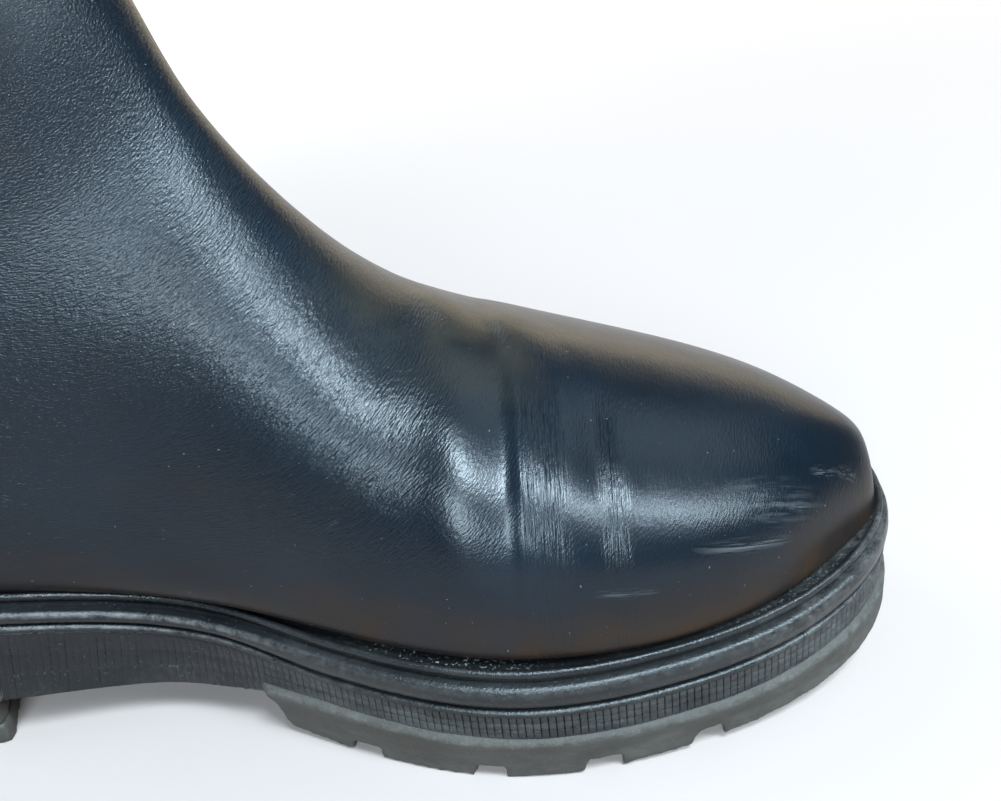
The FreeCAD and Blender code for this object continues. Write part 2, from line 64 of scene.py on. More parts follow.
STATIONS = [
    (137.0, 42.6, 137.0, 41.2, 0, 0.00, -3),
    (137.3, 44.4, 137.6, 37.6, 0, 0.24, -3),
    (137.9, 47.4, 140.4, 33.0, 0, 0.52, -3),
    (129.2, 53.8, 131.0, 31.0, 0, 0.80, -3),
    (117.0, 60.3, 118.0, 28.5, 0, 0.94, -4),
    (100.0, 65.8, 100.0, 27.0, 0, 1.00, -5),
    (81.0, 71.7, 80.0, 26.0, 0, 1.00, -5),
    (61.0, 79.3, 56.0, 26.0, 0, 1.00, -5),
    (43.0, 85.7, 30.0, 27.0, 0, 1.00, -4),
    (32.0, 95.7, 0.0, 29.5, 0, 1.00, -3),
    (21.0, 109.3, -38.0, 34.0, 0.04, 1.00, -2),
    (12.2, 122.9, -84.0, 36.8, 0.12, 1.00, -1),
    (6.0, 135.0, -143.0, 34.5, 0.28, 1.00, 0),
    (1.5, 149.0, -142.0, 66.0, 0.68, 1.00, 0),
    (-3.5, 163.0, -129.0, 108.0, 1, 1.00, 0),
    (-8.5, 178.0, -125.0, 145.0, 1, 1.00, 0),
    (-12.5, 195.0, -128.0, 188.0, 1, 1.00, 0),
    (-15.5, 212.0, -131.0, 208.0, 1, 1.00, 0),
]
RING_LEVELS = [0.04, 0.22, 0.5, 0.78, 1.0]
RING_FOREPART = [0.34, 0.80, 1.0, 1.0, 1.08]
RING_SHAFT = [0.36, 0.82, 1.0, 0.84, 0.36]
RING_HEEL = [0.0, 0.0, 0.03, 0.12, 0.36]
TOE_FOLD_X = 100.0
SOLE_LEDGE = 3.5
LEG_START_Z, LEG_BLEND, LEG_HALF_WIDTH = 52.0, 73.0, 36.0
ANKLE_HOLLOW = 5.0
TOPLINE = [(-160, 194), (-131, 192), (-100, 188), (-70, 187), (-40, 189), (-10, 194), (20, 198)]
SIDE_SEAM = [(-64, 10), (-68, 45), (-71, 70), (-73, 90), (-71, 140), (-70, 240)]
GORE = [
    (-42, 212), (-46, 165), (-54, 120), (-62, 97), (-72, 88),
    (-82, 97), (-90, 120), (-96, 165), (-99, 212),
]
MIDSOLE_DEPTH = 17.2


# ------------------------------------------------------------------ splines
def cubic_closed(points, count):
    """C2 periodic cubic through points by chord length, sampled evenly in the parameter."""
    p = np.array(points, float)
    n = len(p)
    h = np.linalg.norm(np.roll(p, -1, 0) - p, axis=1)
    s = np.r_[0, np.cumsum(h)]
    a = np.zeros((n, n))
    b = np.zeros((n, 2))
    for i in range(n):
        hm, hp = h[i - 1], h[i]
        a[i, i - 1] += hm / 6
        a[i, i] += (hm + hp) / 3
        a[i, (i + 1) % n] += hp / 6
        b[i] = (p[(i + 1) % n] - p[i]) / hp - (p[i] - p[i - 1]) / hm
    m = np.linalg.solve(a, b)
    t = np.arange(count) * s[-1] / count
    k = np.clip(np.searchsorted(s, t, side="right") - 1, 0, n - 1)
    u = t - s[k]
    hk = h[k]
    p0, p1, m0, m1 = p[k], p[(k + 1) % n], m[k], m[(k + 1) % n]
    w0 = ((hk - u) ** 3 / (6 * hk))[:, None]
    w1 = (u ** 3 / (6 * hk))[:, None]
    return (m0 * w0 + m1 * w1 + (p0 / hk[:, None] - m0 * hk[:, None] / 6) * (hk - u)[:, None]
            + (p1 / hk[:, None] - m1 * hk[:, None] / 6) * u[:, None])


def cubic_open(points, count=2000):
    """Natural cubic through points by chord length."""
    p = np.array(points, float)
    n = len(p)
    h = np.linalg.norm(np.diff(p, axis=0), axis=1)
    s = np.r_[0, np.cumsum(h)]
    a = np.eye(n)
    b = np.zeros(p.shape)
    for i in range(1, n - 1):
        a[i, i - 1], a[i, i], a[i, i + 1] = h[i - 1] / 6, (h[i - 1] + h[i]) / 3, h[i] / 6
        b[i] = (p[i + 1] - p[i]) / h[i] - (p[i] - p[i - 1]) / h[i - 1]
    m = np.linalg.solve(a, b)
    t = np.linspace(0, s[-1], count)
    k = np.clip(np.searchsorted(s, t, side="right") - 1, 0, n - 2)
    u = (t - s[k])[:, None]
    hk = h[k][:, None]
    return (m[k] * (hk - u) ** 3 / (6 * hk) + m[k + 1] * u ** 3 / (6 * hk)
            + (p[k] / hk - m[k] * hk / 6) * (hk - u) + (p[k + 1] / hk - m[k + 1] * hk / 6) * u)


def line_of(points):
    """A side-view line as a function z(x)."""
    c = cubic_open(points)
    return lambda x: np.interp(x, c[:, 0], c[:, 1])


welt_z = line_of(WELT_LINE)
top_z = line_of(TOPLINE)


def tread_z(x):
    t = np.array(TREAD_LINE, float)
    return np.interp(x, t[:, 0], t[:, 1])


def smooth(t):
    t = np.clip(t, 0, 1)
    return t * t * (3 - 2 * t)


def bell(t, w):
    return np.exp(-(t / w) ** 2)


# ------------------------------------------------------------------ sole outline
_dense = cubic_closed(OUTLINE, 7200)
_closed = np.vstack([_dense, _dense[:1]])
_arc = np.r_[0, np.cumsum(np.linalg.norm(np.diff(_closed, axis=0), axis=1))]
PERIMETER = _arc[-1]
NORMAL_STEP = 0.6              # half the arc over which the outline's direction is read


def on_outline(s):
    s = np.mod(s, PERIMETER)
    return np.c_[np.interp(s, _arc, _closed[:, 0]), np.interp(s, _arc, _closed[:, 1])]


def unit(v, tiny=0.0):
    return v / (np.linalg.norm(v, axis=-1) + tiny)[..., None]


def outline_at(s):
    """Outline points and inward normals at arc lengths s."""
    s = np.mod(s, PERIMETER)
    d = unit(on_outline(s + NORMAL_STEP) - on_outline(s - NORMAL_STEP))
    return on_outline(s), np.c_[-d[:, 1], d[:, 0]]


COARSE_OUTLINE = outline_at(np.linspace(0, PERIMETER, 720, endpoint=False))


def half_width(x, side):
    o = _dense[::10]
    o = o[o[:, 1] < 0] if side < 0 else o[o[:, 1] >= 0]
    o = o[np.argsort(o[:, 0])]
    return np.interp(x, o[:, 0], np.abs(o[:, 1]))


# ------------------------------------------------------------------ lasted skin
def plateau(x, z, side):
    """Half width of the skin at its widest ring, from the sole's outline below to the leg above."""
    foot = half_width(np.clip(x, -125, 133), side) - SOLE_LEDGE
    leg_share = smooth((z - LEG_START_Z) / LEG_BLEND)
    ankle = -ANKLE_HOLLOW * bell(z - 98.0, 26.0) * bell(x + 95.0, 40.0)
    return foot * (1 - leg_share) + LEG_HALF_WIDTH * leg_share + ankle


def control_net(inset):
    rings = []
    tip = STATIONS[0][0]
    for xt, zt, xb, zb, back, scale, ridge in STATIONS:
        length = math.hypot(xb - xt, zb - zt)
        ux, uz = (xb - xt) / length, (zb - zt) / length
        step = min(inset, 0.35 * length)
        top = np.array((xt + step * ux, zt + step * uz))
        low = np.array((xb - step * ux, zb - step * uz))
        sides = {-1: [], 1: []}
        for side in (-1, 1):
            for a, ff, fs, fh in zip(RING_LEVELS, RING_FOREPART, RING_SHAFT, RING_HEEL):
                c = top + a * (low - top)
                f = ff * (1 - back) + fs * back
                if xb < -60:
                    f += fh * 4 * back * (1 - back)
                w = (plateau(c[0], c[1], side) - inset) * f * scale if scale > 0 else 0.5
                sides[side].append((c[0], side * w + ridge * (1 - min(1.0, f)), c[1]))
        ring = [(top[0], ridge, top[1])] + sides[-1] + [(low[0], 0.0, low[1])] + sides[1][::-1]
        ring = np.array(ring, float)
        far = ring[:, 0] > TOE_FOLD_X
        ring[far, 0] = TOE_FOLD_X + (ring[far, 0] - TOE_FOLD_X) * (1 - inset / (tip - TOE_FOLD_X))
        rings.append(ring)
    return np.array(rings)


def basis_u(us, n=len(STATIONS), deg=3):
    k = np.r_[np.zeros(deg), np.linspace(0, 1, n - deg + 1), np.ones(deg)]
    us = np.clip(us, 0, 1 - 1e-12)
    b = np.array([(us >= k[i]) & (us < k[i + 1]) for i in range(len(k) - 1)], float).T
    for d in range(1, deg + 1):
        m = np.zeros((len(us), len(k) - 1 - d))
        for i in range(len(k) - 1 - d):
            if k[i + d] > k[i]:
                m[:, i] += (us - k[i]) / (k[i + d] - k[i]) * b[:, i]
            if k[i + d + 1] > k[i + 1]:
                m[:, i] += (k[i + d + 1] - us) / (k[i + d + 1] - k[i + 1]) * b[:, i + 1]
        b = m
    return b[:, :n]


def basis_v(vs, m=12):
    b = np.zeros((len(vs), m))
    x = np.mod(vs, 1) * m
    i = np.floor(x).astype(int)
    t = x - i
    w = [(1 - t) ** 3 / 6, (3 * t ** 3 - 6 * t ** 2 + 4) / 6,
         (-3 * t ** 3 + 3 * t ** 2 + 3 * t + 1) / 6, t ** 3 / 6]
    for k in range(4):
        b[np.arange(len(vs)), (i + k - 1) % m] += w[k]
    return b


_nets = {}


def net(inset):
    key = round(inset, 3)
    if key not in _nets:
        _nets[key] = control_net(inset)
    return _nets[key]


def skin_points(u, v, inset):
    """Points of the skin at (u, v) pairs."""
    return np.einsum("ni,ijk,nj->nk", basis_u(u), net(inset), basis_v(v), optimize=True)


def skin_grid(us, vs, inset):
    return np.einsum("ui,ijk,vj->uvk", basis_u(us), net(inset), basis_v(vs), optimize=True)


_gu, _gv = np.linspace(0, 1, 120), np.arange(96) / 96
_guess = skin_grid(_gu, _gv, 0.0)
_gu, _gv = np.meshgrid(_gu, _gv, indexing="ij")
_gu, _gv, _gp = _gu.ravel(), _gv.ravel(), _guess.reshape(-1, 3)


def locate(a, b, axes, where, inset=0.0):
    """(u, v) of skin points whose coordinates on two axes are a and b; where() picks the side."""
    ok = where(_gp)
    gu, gv, gp = _gu[ok], _gv[ok], _gp[ok]
    target = np.c_[a, b]
    near = np.array([np.argmin(((gp[:, axes] - t) ** 2).sum(1)) for t in target])
    u, v = gu[near].copy(), gv[near].copy()
    e = 1e-4
    for _ in range(8):
        p = skin_points(u, v, inset)[:, axes]
        ju = (skin_points(np.clip(u + e, 0, 1), v, inset)[:, axes] - p) / e
        jv = (skin_points(u, v + e, inset)[:, axes] - p) / e
        r = target - p
        det = ju[:, 0] * jv[:, 1] - ju[:, 1] * jv[:, 0]
        det = np.where(np.abs(det) < 1e-9, 1e-9, det)
        du = (r[:, 0] * jv[:, 1] - r[:, 1] * jv[:, 0]) / det
        dv = (ju[:, 0] * r[:, 1] - ju[:, 1] * r[:, 0]) / det
        u = np.clip(u + np.clip(du, -0.02, 0.02), 0, 1)
        v = v + np.clip(dv, -0.04, 0.04)
    return u, v


def on_side(side):
    return lambda p: p[:, 1] * side > 0


def at_back(p):
    return (p[:, 0] < -85) & (np.abs(p[:, 1]) < 30)


# ------------------------------------------------------------------ mesh tools
def grid_tris(nu, nv, wrap_v):
    i = np.arange(nu - 1)[:, None]
    j = np.arange(nv if wrap_v else nv - 1)[None, :]
    j2 = (j + 1) % nv
    a, b, c, d = i * nv + j, i * nv + j2, (i + 1) * nv + j2, (i + 1) * nv + j
    a, b, c, d = [np.broadcast_to(q, (nu - 1, j.shape[1])).ravel() for q in (a, b, c, d)]
    flip = (np.add.outer(np.arange(nu - 1), np.arange(j.shape[1])) % 2).ravel().astype(bool)
    t1 = np.where(flip[:, None], np.c_[a, b, c], np.c_[a, b, d])
    t2 = np.where(flip[:, None], np.c_[a, c, d], np.c_[b, c, d])
    return np.vstack([t1, t2])


def split(attrs, tris, s, keep=True):
    """Cuts triangles along s = 0; with keep, only the part where s > 0 stays."""
    s = np.where(np.abs(s) < 1e-6, 1e-6, s)
    sign = s[tris] > 0
    count = sign.sum(1)
    whole = (count == 3) | ((count == 0) & (not keep))
    out = [tris[whole]]
    mixed = tris[(count == 1) | (count == 2)]
    ms = sign[(count == 1) | (count == 2)]
    lone = ms.sum(1) == 1
    odd = np.argmax(ms == lone[:, None], axis=1)
    r = np.arange(len(mixed))
    a, b, c = mixed[r, odd], mixed[r, (odd + 1) % 3], mixed[r, (odd + 2) % 3]
    edges = np.sort(np.vstack([np.c_[a, b], np.c_[a, c]]), axis=1)
    uniq, inv = np.unique(edges, axis=0, return_inverse=True)
    inv = inv.ravel()
    t = s[uniq[:, 0]] / (s[uniq[:, 0]] - s[uniq[:, 1]])
    t = np.clip(t, 0.03, 0.97)[:, None]
    fresh = attrs[uniq[:, 0]] * (1 - t) + attrs[uniq[:, 1]] * t
    base = len(attrs)
    ab, ac = base + inv[:len(a)], base + inv[len(a):]
    tip = np.c_[a, ab, ac]
    rest = np.vstack([np.c_[ab, b, c], np.c_[ab, c, ac]])
    out += [tip[lone], rest[~np.r_[lone, lone]]] if keep else [tip, rest]
    attrs = np.vstack([attrs, fresh])
    tris = np.vstack(out)
    used, inv = np.unique(tris, return_inverse=True)
    return attrs[used], inv.reshape(-1, 3)


def rim_edges(tris):
    """Directed edges that only one triangle uses."""
    e = np.vstack([tris[:, [0, 1]], tris[:, [1, 2]], tris[:, [2, 0]]]).astype(np.int64)
    n = tris.max() + 1
    key, back = e[:, 0] * n + e[:, 1], e[:, 1] * n + e[:, 0]
    return e[~np.isin(key, back)]


def face_out(points, tris, normal):
    """Triangles turned to face along the normal at the first one."""
    a, b, c = points[tris[0]]
    return tris[:, ::-1] if np.cross(b - a, c - a) @ normal < 0 else tris


def closed_shell(outer, inner, tris):
    """Two faces of a sheet and the walls round its free edges."""
    n = len(outer)
    e = rim_edges(tris)
    walls = np.vstack([np.c_[e[:, 1], e[:, 0], e[:, 0] + n], np.c_[e[:, 1], e[:, 0] + n, e[:, 1] + n]])
    return np.vstack([outer, inner]), np.vstack([tris, tris[:, ::-1] + n, walls])


def add_mesh(name, verts, faces, material, smooth_angle=None, attrs=None):
    """Object from vertices in mm and a list of face arrays."""
    mesh = bpy.data.meshes.new(name)
    verts = np.asarray(verts, float) * MM
    mesh.vertices.add(len(verts))
    mesh.vertices.foreach_set("co", verts.ravel())
    faces = faces if isinstance(faces, list) else [faces]
    loops = np.concatenate([np.asarray(f).ravel() for f in faces]).astype(np.int32)
    sizes = np.concatenate([np.full(len(f), np.asarray(f).shape[1]) for f in faces])
    starts = np.r_[0, np.cumsum(sizes)[:-1]].astype(np.int32)
    mesh.loops.add(len(loops))
    mesh.loops.foreach_set("vertex_index", loops)
    mesh.polygons.add(len(sizes))
    mesh.polygons.foreach_set("loop_start", starts)
    mesh.polygons.foreach_set("use_smooth", np.ones(len(sizes), bool))
    for key, values in (attrs or {}).items():
        layer = mesh.attributes.new(key, "FLOAT", "POINT")
        layer.data.foreach_set("value", np.asarray(values, np.float32))
    mesh.update(calc_edges=True)
    mesh.validate()
    if smooth_angle:
        mesh.set_sharp_from_angle(angle=math.radians(smooth_angle))
    obj = bpy.data.objects.new(name, mesh)
    bpy.context.scene.collection.objects.link(obj)
    mesh.materials.append(material)
    return obj


def settle(obj, slot, *nodes, body="boot"):
    if nodes:
        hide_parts(*nodes)
    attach(obj, body)
    return obj


def noise_field(p, scale, seed, octaves=2):
    """Smooth deterministic value noise at points p, about -1 to 1."""
    gen = np.random.default_rng(seed)
    table = gen.uniform(-1, 1, (64, 64, 64))
    out = np.zeros(len(p))
    amp, total = 1.0, 0.0
    for o in range(octaves):
        q = p / scale * (2 ** o) + 17.3 * o
        i = np.floor(q).astype(int)
        f = q - i
        f = f * f * (3 - 2 * f)
        val = 0
        for dx in (0, 1):
            for dy in (0, 1):
                for dz in (0, 1):
                    w = ((f[:, 0] if dx else 1 - f[:, 0]) * (f[:, 1] if dy else 1 - f[:, 1])
                         * (f[:, 2] if dz else 1 - f[:, 2]))
                    val = val + w * table[(i[:, 0] + dx) % 64, (i[:, 1] + dy) % 64, (i[:, 2] + dz) % 64]
        out += amp * val
        total += amp
        amp *= 0.5
    return out / total


# ------------------------------------------------------------------ materials
class Nodes:
    """Small helper round one material's node tree."""

    def __init__(self, name):
        self.mat = bpy.data.materials.new(name)
        self.mat.use_nodes = True
        self.tree = self.mat.node_tree
        self.tree.nodes.clear()
        self.out = self.tree.nodes.new("ShaderNodeOutputMaterial")
        self.bsdf = self.tree.nodes.new("ShaderNodeBsdfPrincipled")
        self.link(self.bsdf.outputs[0], self.out.inputs["Surface"])
        self.coord = self.tree.nodes.new("ShaderNodeTexCoord").outputs["Object"]

    def link(self, a, b):
        self.tree.links.new(a, b)

    def node(self, kind, **inputs):
        n = self.tree.nodes.new(kind)
        for key, value in inputs.items():
            self.put(n.inputs[key.replace("_", " ")], value)
        return n

    def put(self, socket, value):
        if isinstance(value, bpy.types.NodeSocket):
            self.link(value, socket)
        else:
            socket.default_value = value

    def noise(self, scale, detail=3.0, rough=0.55, where=None, distort=0.0):
        return self.node("ShaderNodeTexNoise", Vector=where or self.coord, Scale=scale, Detail=detail,
                         Roughness=rough, Distortion=distort).outputs["Fac"]

    def voronoi(self, scale, where=None):
        return self.node("ShaderNodeTexVoronoi", Vector=where or self.coord, Scale=scale).outputs["Distance"]

    def wave(self, scale, axis, distort):
        n = self.node("ShaderNodeTexWave", Vector=self.coord, Scale=scale, Distortion=distort, Detail=1.0)
        n.bands_direction = axis
        return n.outputs["Fac"]

    def stretch(self, sx, sy, sz, where=None):
        return self.node("ShaderNodeMapping", Vector=where or self.coord, Scale=(sx, sy, sz)).outputs[0]

    def flow(self, centre, radius, squeeze=0.13, aside=0.2):
        """Coordinates that run round a centre in the side view: across the grain, along it, and y."""
        part = self.node("ShaderNodeSeparateXYZ")
        self.link(self.coord, part.inputs[0])
        dx = self.math("SUBTRACT", part.outputs[0], centre[0] * MM)
        dz = self.math("SUBTRACT", part.outputs[2], centre[1] * MM)
        squares = [self.math("MULTIPLY", d, d) for d in (dx, dz)]
        across = self.math("SQRT", self.math("ADD", *squares))
        turn = self.math("ARCTAN2", dx, self.math("MULTIPLY", dz, -1.0))
        along = self.math("MULTIPLY", turn, radius * MM * squeeze)
        side = self.math("MULTIPLY", part.outputs[1], aside)
        return self.node("ShaderNodeCombineXYZ", X=across, Y=along, Z=side).outputs[0]

    def ramp(self, fac, low, high):
        """Straight rise between two (position, value) stops."""
        n = self.tree.nodes.new("ShaderNodeValToRGB")
        for stop, (place, value) in zip(n.color_ramp.elements, (low, high)):
            stop.position = place
            stop.color = (value, value, value, 1)
        self.link(fac, n.inputs[0])
        return n.outputs[0]

    def math(self, op, a, b=0.0, clamp=False):
        n = self.tree.nodes.new("ShaderNodeMath")
        n.operation = op
        n.use_clamp = clamp
        self.put(n.inputs[0], a)
        self.put(n.inputs[1], b)
        return n.outputs[0]

    def times(self, a, b):
        return self.math("MULTIPLY", a, b)

    def plus(self, base, value, share=1.0):
        """base + share x value"""
        return self.math("ADD", base, self.times(value, share))

    def mix(self, fac, a, b):
        n = self.tree.nodes.new("ShaderNodeMix")
        n.data_type = "RGBA"
        for k, value in ((0, fac), (6, a), (7, b)):
            self.put(n.inputs[k], (*value, 1) if isinstance(value, tuple) else value)
        return n.outputs[2]

    def attr(self, name):
        n = self.tree.nodes.new("ShaderNodeAttribute")
        n.attribute_name = name
        return n.outputs["Fac"]

    def bump(self, height, distance, strength=1.0, normal=None):
        n = self.node("ShaderNodeBump", Height=height, Distance=distance, Strength=strength)
        if normal is not None:
            self.link(normal, n.inputs["Normal"])
        return n.outputs[0]

    def set(self, color, rough, **values):
        names = {"normal": "Normal", "metal": "Metallic", "sheen": "Sheen Weight",
                 "sheen_rough": "Sheen Roughness", "spec": "Specular IOR Level"}
        self.put(self.bsdf.inputs["Base Color"], color)
        self.put(self.bsdf.inputs["Roughness"], rough)
        for key, value in values.items():
            self.put(self.bsdf.inputs[names[key]], value)
        return self.mat


GRAIN_CENTRE = (-22, 152)      # the long grain sweeps round this place in the side view
GRAIN_RADIUS = 90


def scuff_marks(m):
    """Strength of the worn streaks on the toe."""
    marks = 0.0
    for place, turn, size, strength in SCUFF_MARKS:
        local = m.node("ShaderNodeMapping", Vector=m.coord, Location=tuple(c * MM for c in place),
                       Rotation=tuple(math.radians(c) for c in turn), Scale=tuple(c * MM for c in size))
        local.vector_type = "TEXTURE"
        reach = m.tree.nodes.new("ShaderNodeVectorMath")
        reach.operation = "LENGTH"
        m.link(local.outputs[0], reach.inputs[0])
        spot = m.math("SUBTRACT", 1.0, reach.outputs["Value"], clamp=True)
        strands = m.noise(2.6, 3, 0.7, where=m.stretch(0.35, 1.5, 1.5, where=local.outputs[0]))
        strands = m.ramp(strands, (0.47, 0.0), (0.62, 1.0))
        marks = m.math("ADD", marks, m.times(m.times(spot, strands), strength), clamp=True)
    return marks


def leather_material(name, wear_and_painted_light=True):
    m = Nodes(name)
    # colour: near-black navy; painted reflection makes it warmer and browner low down and olive along the
    # ridge
    cloud = m.ramp(m.noise(28, 4, 0.6), (0.35, 0.0), (0.7, 1.0))
    base = m.mix(cloud, (0.0009, 0.0030, 0.0056), (0.0018, 0.0054, 0.0096))
    # grain: small cells, drawn out along the pull of the leather
    pebble = m.voronoi(2600, where=m.flow(GRAIN_CENTRE, GRAIN_RADIUS, 0.55) if wear_and_painted_light else None)
    grain = m.plus(m.times(pebble, 0.8), m.noise(3000, 2, 0.5), 0.6)
    normal = m.bump(m.noise(70, 3, 0.5), 0.0006, 0.2)
    rough = m.plus(0.26, m.noise(160, 3, 0.6), 0.09)
    amount, spec = 0.7, 0.3
    if wear_and_painted_light:
        # painted reflection: brown low down, where the upper reflects the warm ground, plus warm tone in
        # random patches
        base = m.mix(m.times(m.attr("warm_tone_and_reflection"), 0.95), base, (0.0235, 0.0140, 0.0088))
        # painted reflection: olive tint along the ridge
        base = m.mix(m.attr("olive_ridge_reflection"), base, (0.021, 0.0185, 0.0120))
        fleck = m.ramp(m.noise(1100, 1, 0.5), (0.785, 0.0), (0.80, 1.0))
        base = m.mix(m.times(fleck, 0.5), base, (0.11, 0.12, 0.125))
        long_grain = m.noise(2900, 2, 0.5, where=m.flow(GRAIN_CENTRE, GRAIN_RADIUS), distort=0.1)
        normal = m.bump(m.times(long_grain, m.attr("drape")), 0.00021, 0.95, normal)
        pleats = m.noise(2300, 2, 0.5, where=m.stretch(1.0, 0.05, 0.05), distort=0.15)
        normal = m.bump(m.times(pleats, m.attr("crease")), 0.00034, 0.9, normal)
        marks = scuff_marks(m)
        base = m.mix(marks, base, (0.062, 0.066, 0.068))
        amount = m.plus(0.42, m.attr("grainy"), 0.2)
        for value, share in ((marks, 0.3), (m.attr("warm_tone_and_reflection"), 0.10), (m.attr("olive_ridge_reflection"), 0.12)):
            rough = m.plus(rough, value, share)
        spec = m.times(0.30, m.math("SUBTRACT", 1.0, m.times(m.attr("warm_tone_and_reflection"), 0.75)))
    return m.set(base, rough, normal=m.bump(m.times(grain, amount), 0.00010, 0.95, normal), spec=spec)


def rubber_material(name, dark, light, dust_colour, shine):
    m = Nodes(name)
    base = m.mix(m.ramp(m.noise(45, 5, 0.65), (0.3, 0.0), (0.75, 1.0)), dark, light)
    smear = m.ramp(m.noise(150, 4, 0.7, where=m.stretch(0.35, 0.6, 1.6)), (0.42, 0.15), (0.80, 1.0))
    # dust lightens the rubber; where it is withheld, at the waist and in the reeding's slits, the rubber is
    # left darker as painted shade
    dust_and_shade_mask = m.math("MULTIPLY", m.attr("dust_and_shade"), smear, clamp=True)
    base = m.mix(dust_and_shade_mask, base, dust_colour)
    speck = m.ramp(m.noise(1500, 1, 0.5), (0.69, 0.0), (0.74, 1.0))
    base = m.mix(m.times(speck, 0.18), base, (0.12, 0.12, 0.115))
    # the mask carries real wear and painted highlights (the sidewall's rib shoulders, the tread's bevel edge);
    # both lighten the rubber
    wear_and_painted_light = m.times(m.attr("wear_and_highlight"), m.ramp(m.noise(420, 5, 0.75), (0.38, 0.0), (0.66, 1.0)))
    base = m.mix(wear_and_painted_light, base, (0.105, 0.100, 0.092))
    crumbs = m.times(m.attr("glue"), m.ramp(m.noise(1200, 3, 0.6), (0.57, 0.0), (0.63, 1.0)))
    base = m.mix(crumbs, base, (0.20, 0.205, 0.20))
    skin = m.plus(m.noise(1500, 3, 0.65), m.noise(300, 3, 0.6), 0.8)
    normal = m.bump(crumbs, 0.0006, 0.8, m.bump(skin, 0.00026, 0.6))
    rough = shine
    for value, share in ((m.noise(220, 3, 0.6), 0.16), (dust_and_shade_mask, 0.25), (wear_and_painted_light, 0.2)):
        rough = m.plus(rough, value, share)
    return m.set(base, rough, normal=normal, spec=0.33)


def shade(colour, share):
    return tuple(min(1.0, c * share) for c in colour)


def tape_material(name, colour, pitch=528):
    m = Nodes(name)
    weave = m.times(m.wave(pitch, "Z", 0.6), m.wave(pitch, "DIAGONAL", 0.6))
    tint = m.mix(m.times(weave, 0.6), colour, shade(colour, 2.1))
    tint = m.mix(m.times(m.noise(60, 3), 0.3), tint, shade(colour, 0.5))
    normal = m.bump(m.plus(weave, m.noise(2600, 2), 0.5), 0.00022, 0.8)
    return m.set(tint, 0.72, normal=normal, sheen=0.25, sheen_rough=0.45)


def elastic_material(name):
    m = Nodes(name)
    knit = m.wave(620, "Z", 1.2)
    base = m.mix(m.times(knit, 0.7), (0.006, 0.0063, 0.0072), (0.018, 0.0186, 0.0204))
    base = m.mix(m.times(m.noise(50, 3), 0.4), base, (0.010, 0.010, 0.011))
    normal = m.bump(m.plus(knit, m.noise(1800, 3, 0.6)), 0.0002, 0.8)
    return m.set(base, 0.78, normal=normal, sheen=0.3, sheen_rough=0.5)


def thread_material(name):
    m = Nodes(name)
    twist = m.wave(1500, "DIAGONAL", 0.5)
    base = m.mix(twist, (0.008, 0.0085, 0.010), (0.026, 0.027, 0.031))
    return m.set(base, 0.55, normal=m.bump(twist, 0.0001, 0.7), sheen=0.1)


def plain_leather_material(name, dark, light):
    m = Nodes(name)
    base = m.mix(m.ramp(m.noise(55, 5, 0.6), (0.3, 0.0), (0.7, 1.0)), dark, light)
    pores = m.ramp(m.noise(420, 3, 0.6), (0.55, 0.0), (0.8, 0.35))
    base = m.mix(pores, base, shade(dark, 0.62))
    height = m.plus(m.voronoi(1100), m.noise(700, 4, 0.6))
    return m.set(base, 0.66, normal=m.bump(height, 0.0002, 0.6), sheen=0.05)


def weave_material(name, colour):
    m = Nodes(name)
    twill = m.wave(560, "DIAGONAL", 0.8)
    base = m.mix(twill, shade(colour, 0.7), colour)
    base = m.mix(m.times(m.noise(90, 4), 0.35), base, shade(colour, 0.55))
    normal = m.bump(m.plus(twill, m.noise(2200, 3)), 0.00025, 0.7)
    return m.set(base, 0.85, normal=normal, sheen=0.2, sheen_rough=0.6)


def board_material(name, colour):
    m = Nodes(name)
    fibre = m.noise(700, 5, 0.7, where=m.stretch(0.5, 1.6, 1.0))
    base = m.mix(fibre, shade(colour, 0.65), shade(colour, 1.2))
    return m.set(base, 0.88, normal=m.bump(fibre, 0.0003, 0.6))


def steel_material(name):
    m = Nodes(name)
    brush = m.noise(900, 3, 0.6, where=m.stretch(0.15, 1.0, 1.0))
    base = m.mix(brush, (0.42, 0.42, 0.43), (0.60, 0.60, 0.61))
    return m.set(base, m.plus(0.28, brush, 0.2), metal=1.0, normal=m.bump(brush, 0.00005, 0.4))


# Worn marks on the toe: centre mm, turn in degrees, half sizes mm (along, across, through), strength.
SCUFF_MARKS = [
    ((107, -38.5, 46.5), (0, 14, 21), (13, 6, 1.8), 0.9),
    ((112, -31, 51), (0, 22, 26), (16, 6, 6.5), 0.42),
    ((83, -47.5, 44), (0, 7, 6), (7.5, 4, 1.3), 0.75),
    ((125, -20.5, 50.5), (0, 25, 40), (5, 3, 1.3), 0.7),
    ((130, -17, 47), (0, 40, 50), (4, 3, 2.0), 0.6),
    ((118, -29, 48.5), (0, 24, 30), (4, 3, 1.3), 0.7),
]
LEATHER = leather_material("upper_leather_grain")
STRIP_LEATHER = leather_material("strip_leather_grain", wear_and_painted_light=False)
SIDEWALL = rubber_material("sidewall_rubber_skin", (0.0026, 0.0030, 0.0037), (0.0060, 0.0066, 0.0076),
                           (0.050, 0.051, 0.048), 0.20)
TREAD = rubber_material("tread_rubber_skin", (0.0175, 0.0140, 0.0112), (0.033, 0.0272, 0.0218),
                        (0.060, 0.057, 0.050), 0.46)
TAPE = tape_material("woven_tape", (0.007, 0.007, 0.0085))
ELASTIC = elastic_material("elastic_web")
THREAD = thread_material("bonded_thread")
LINING_LEATHER = plain_leather_material("lining_leather_grain", (0.18, 0.13, 0.085), (0.24, 0.18, 0.122))
SOCK_LEATHER = plain_leather_material("sock_leather_grain", (0.155, 0.113, 0.075), (0.215, 0.16, 0.107))
LINING_CLOTH = weave_material("lining_twill", (0.09, 0.084, 0.078))
BOARD = board_material("fibre_board", (0.32, 0.24, 0.16))
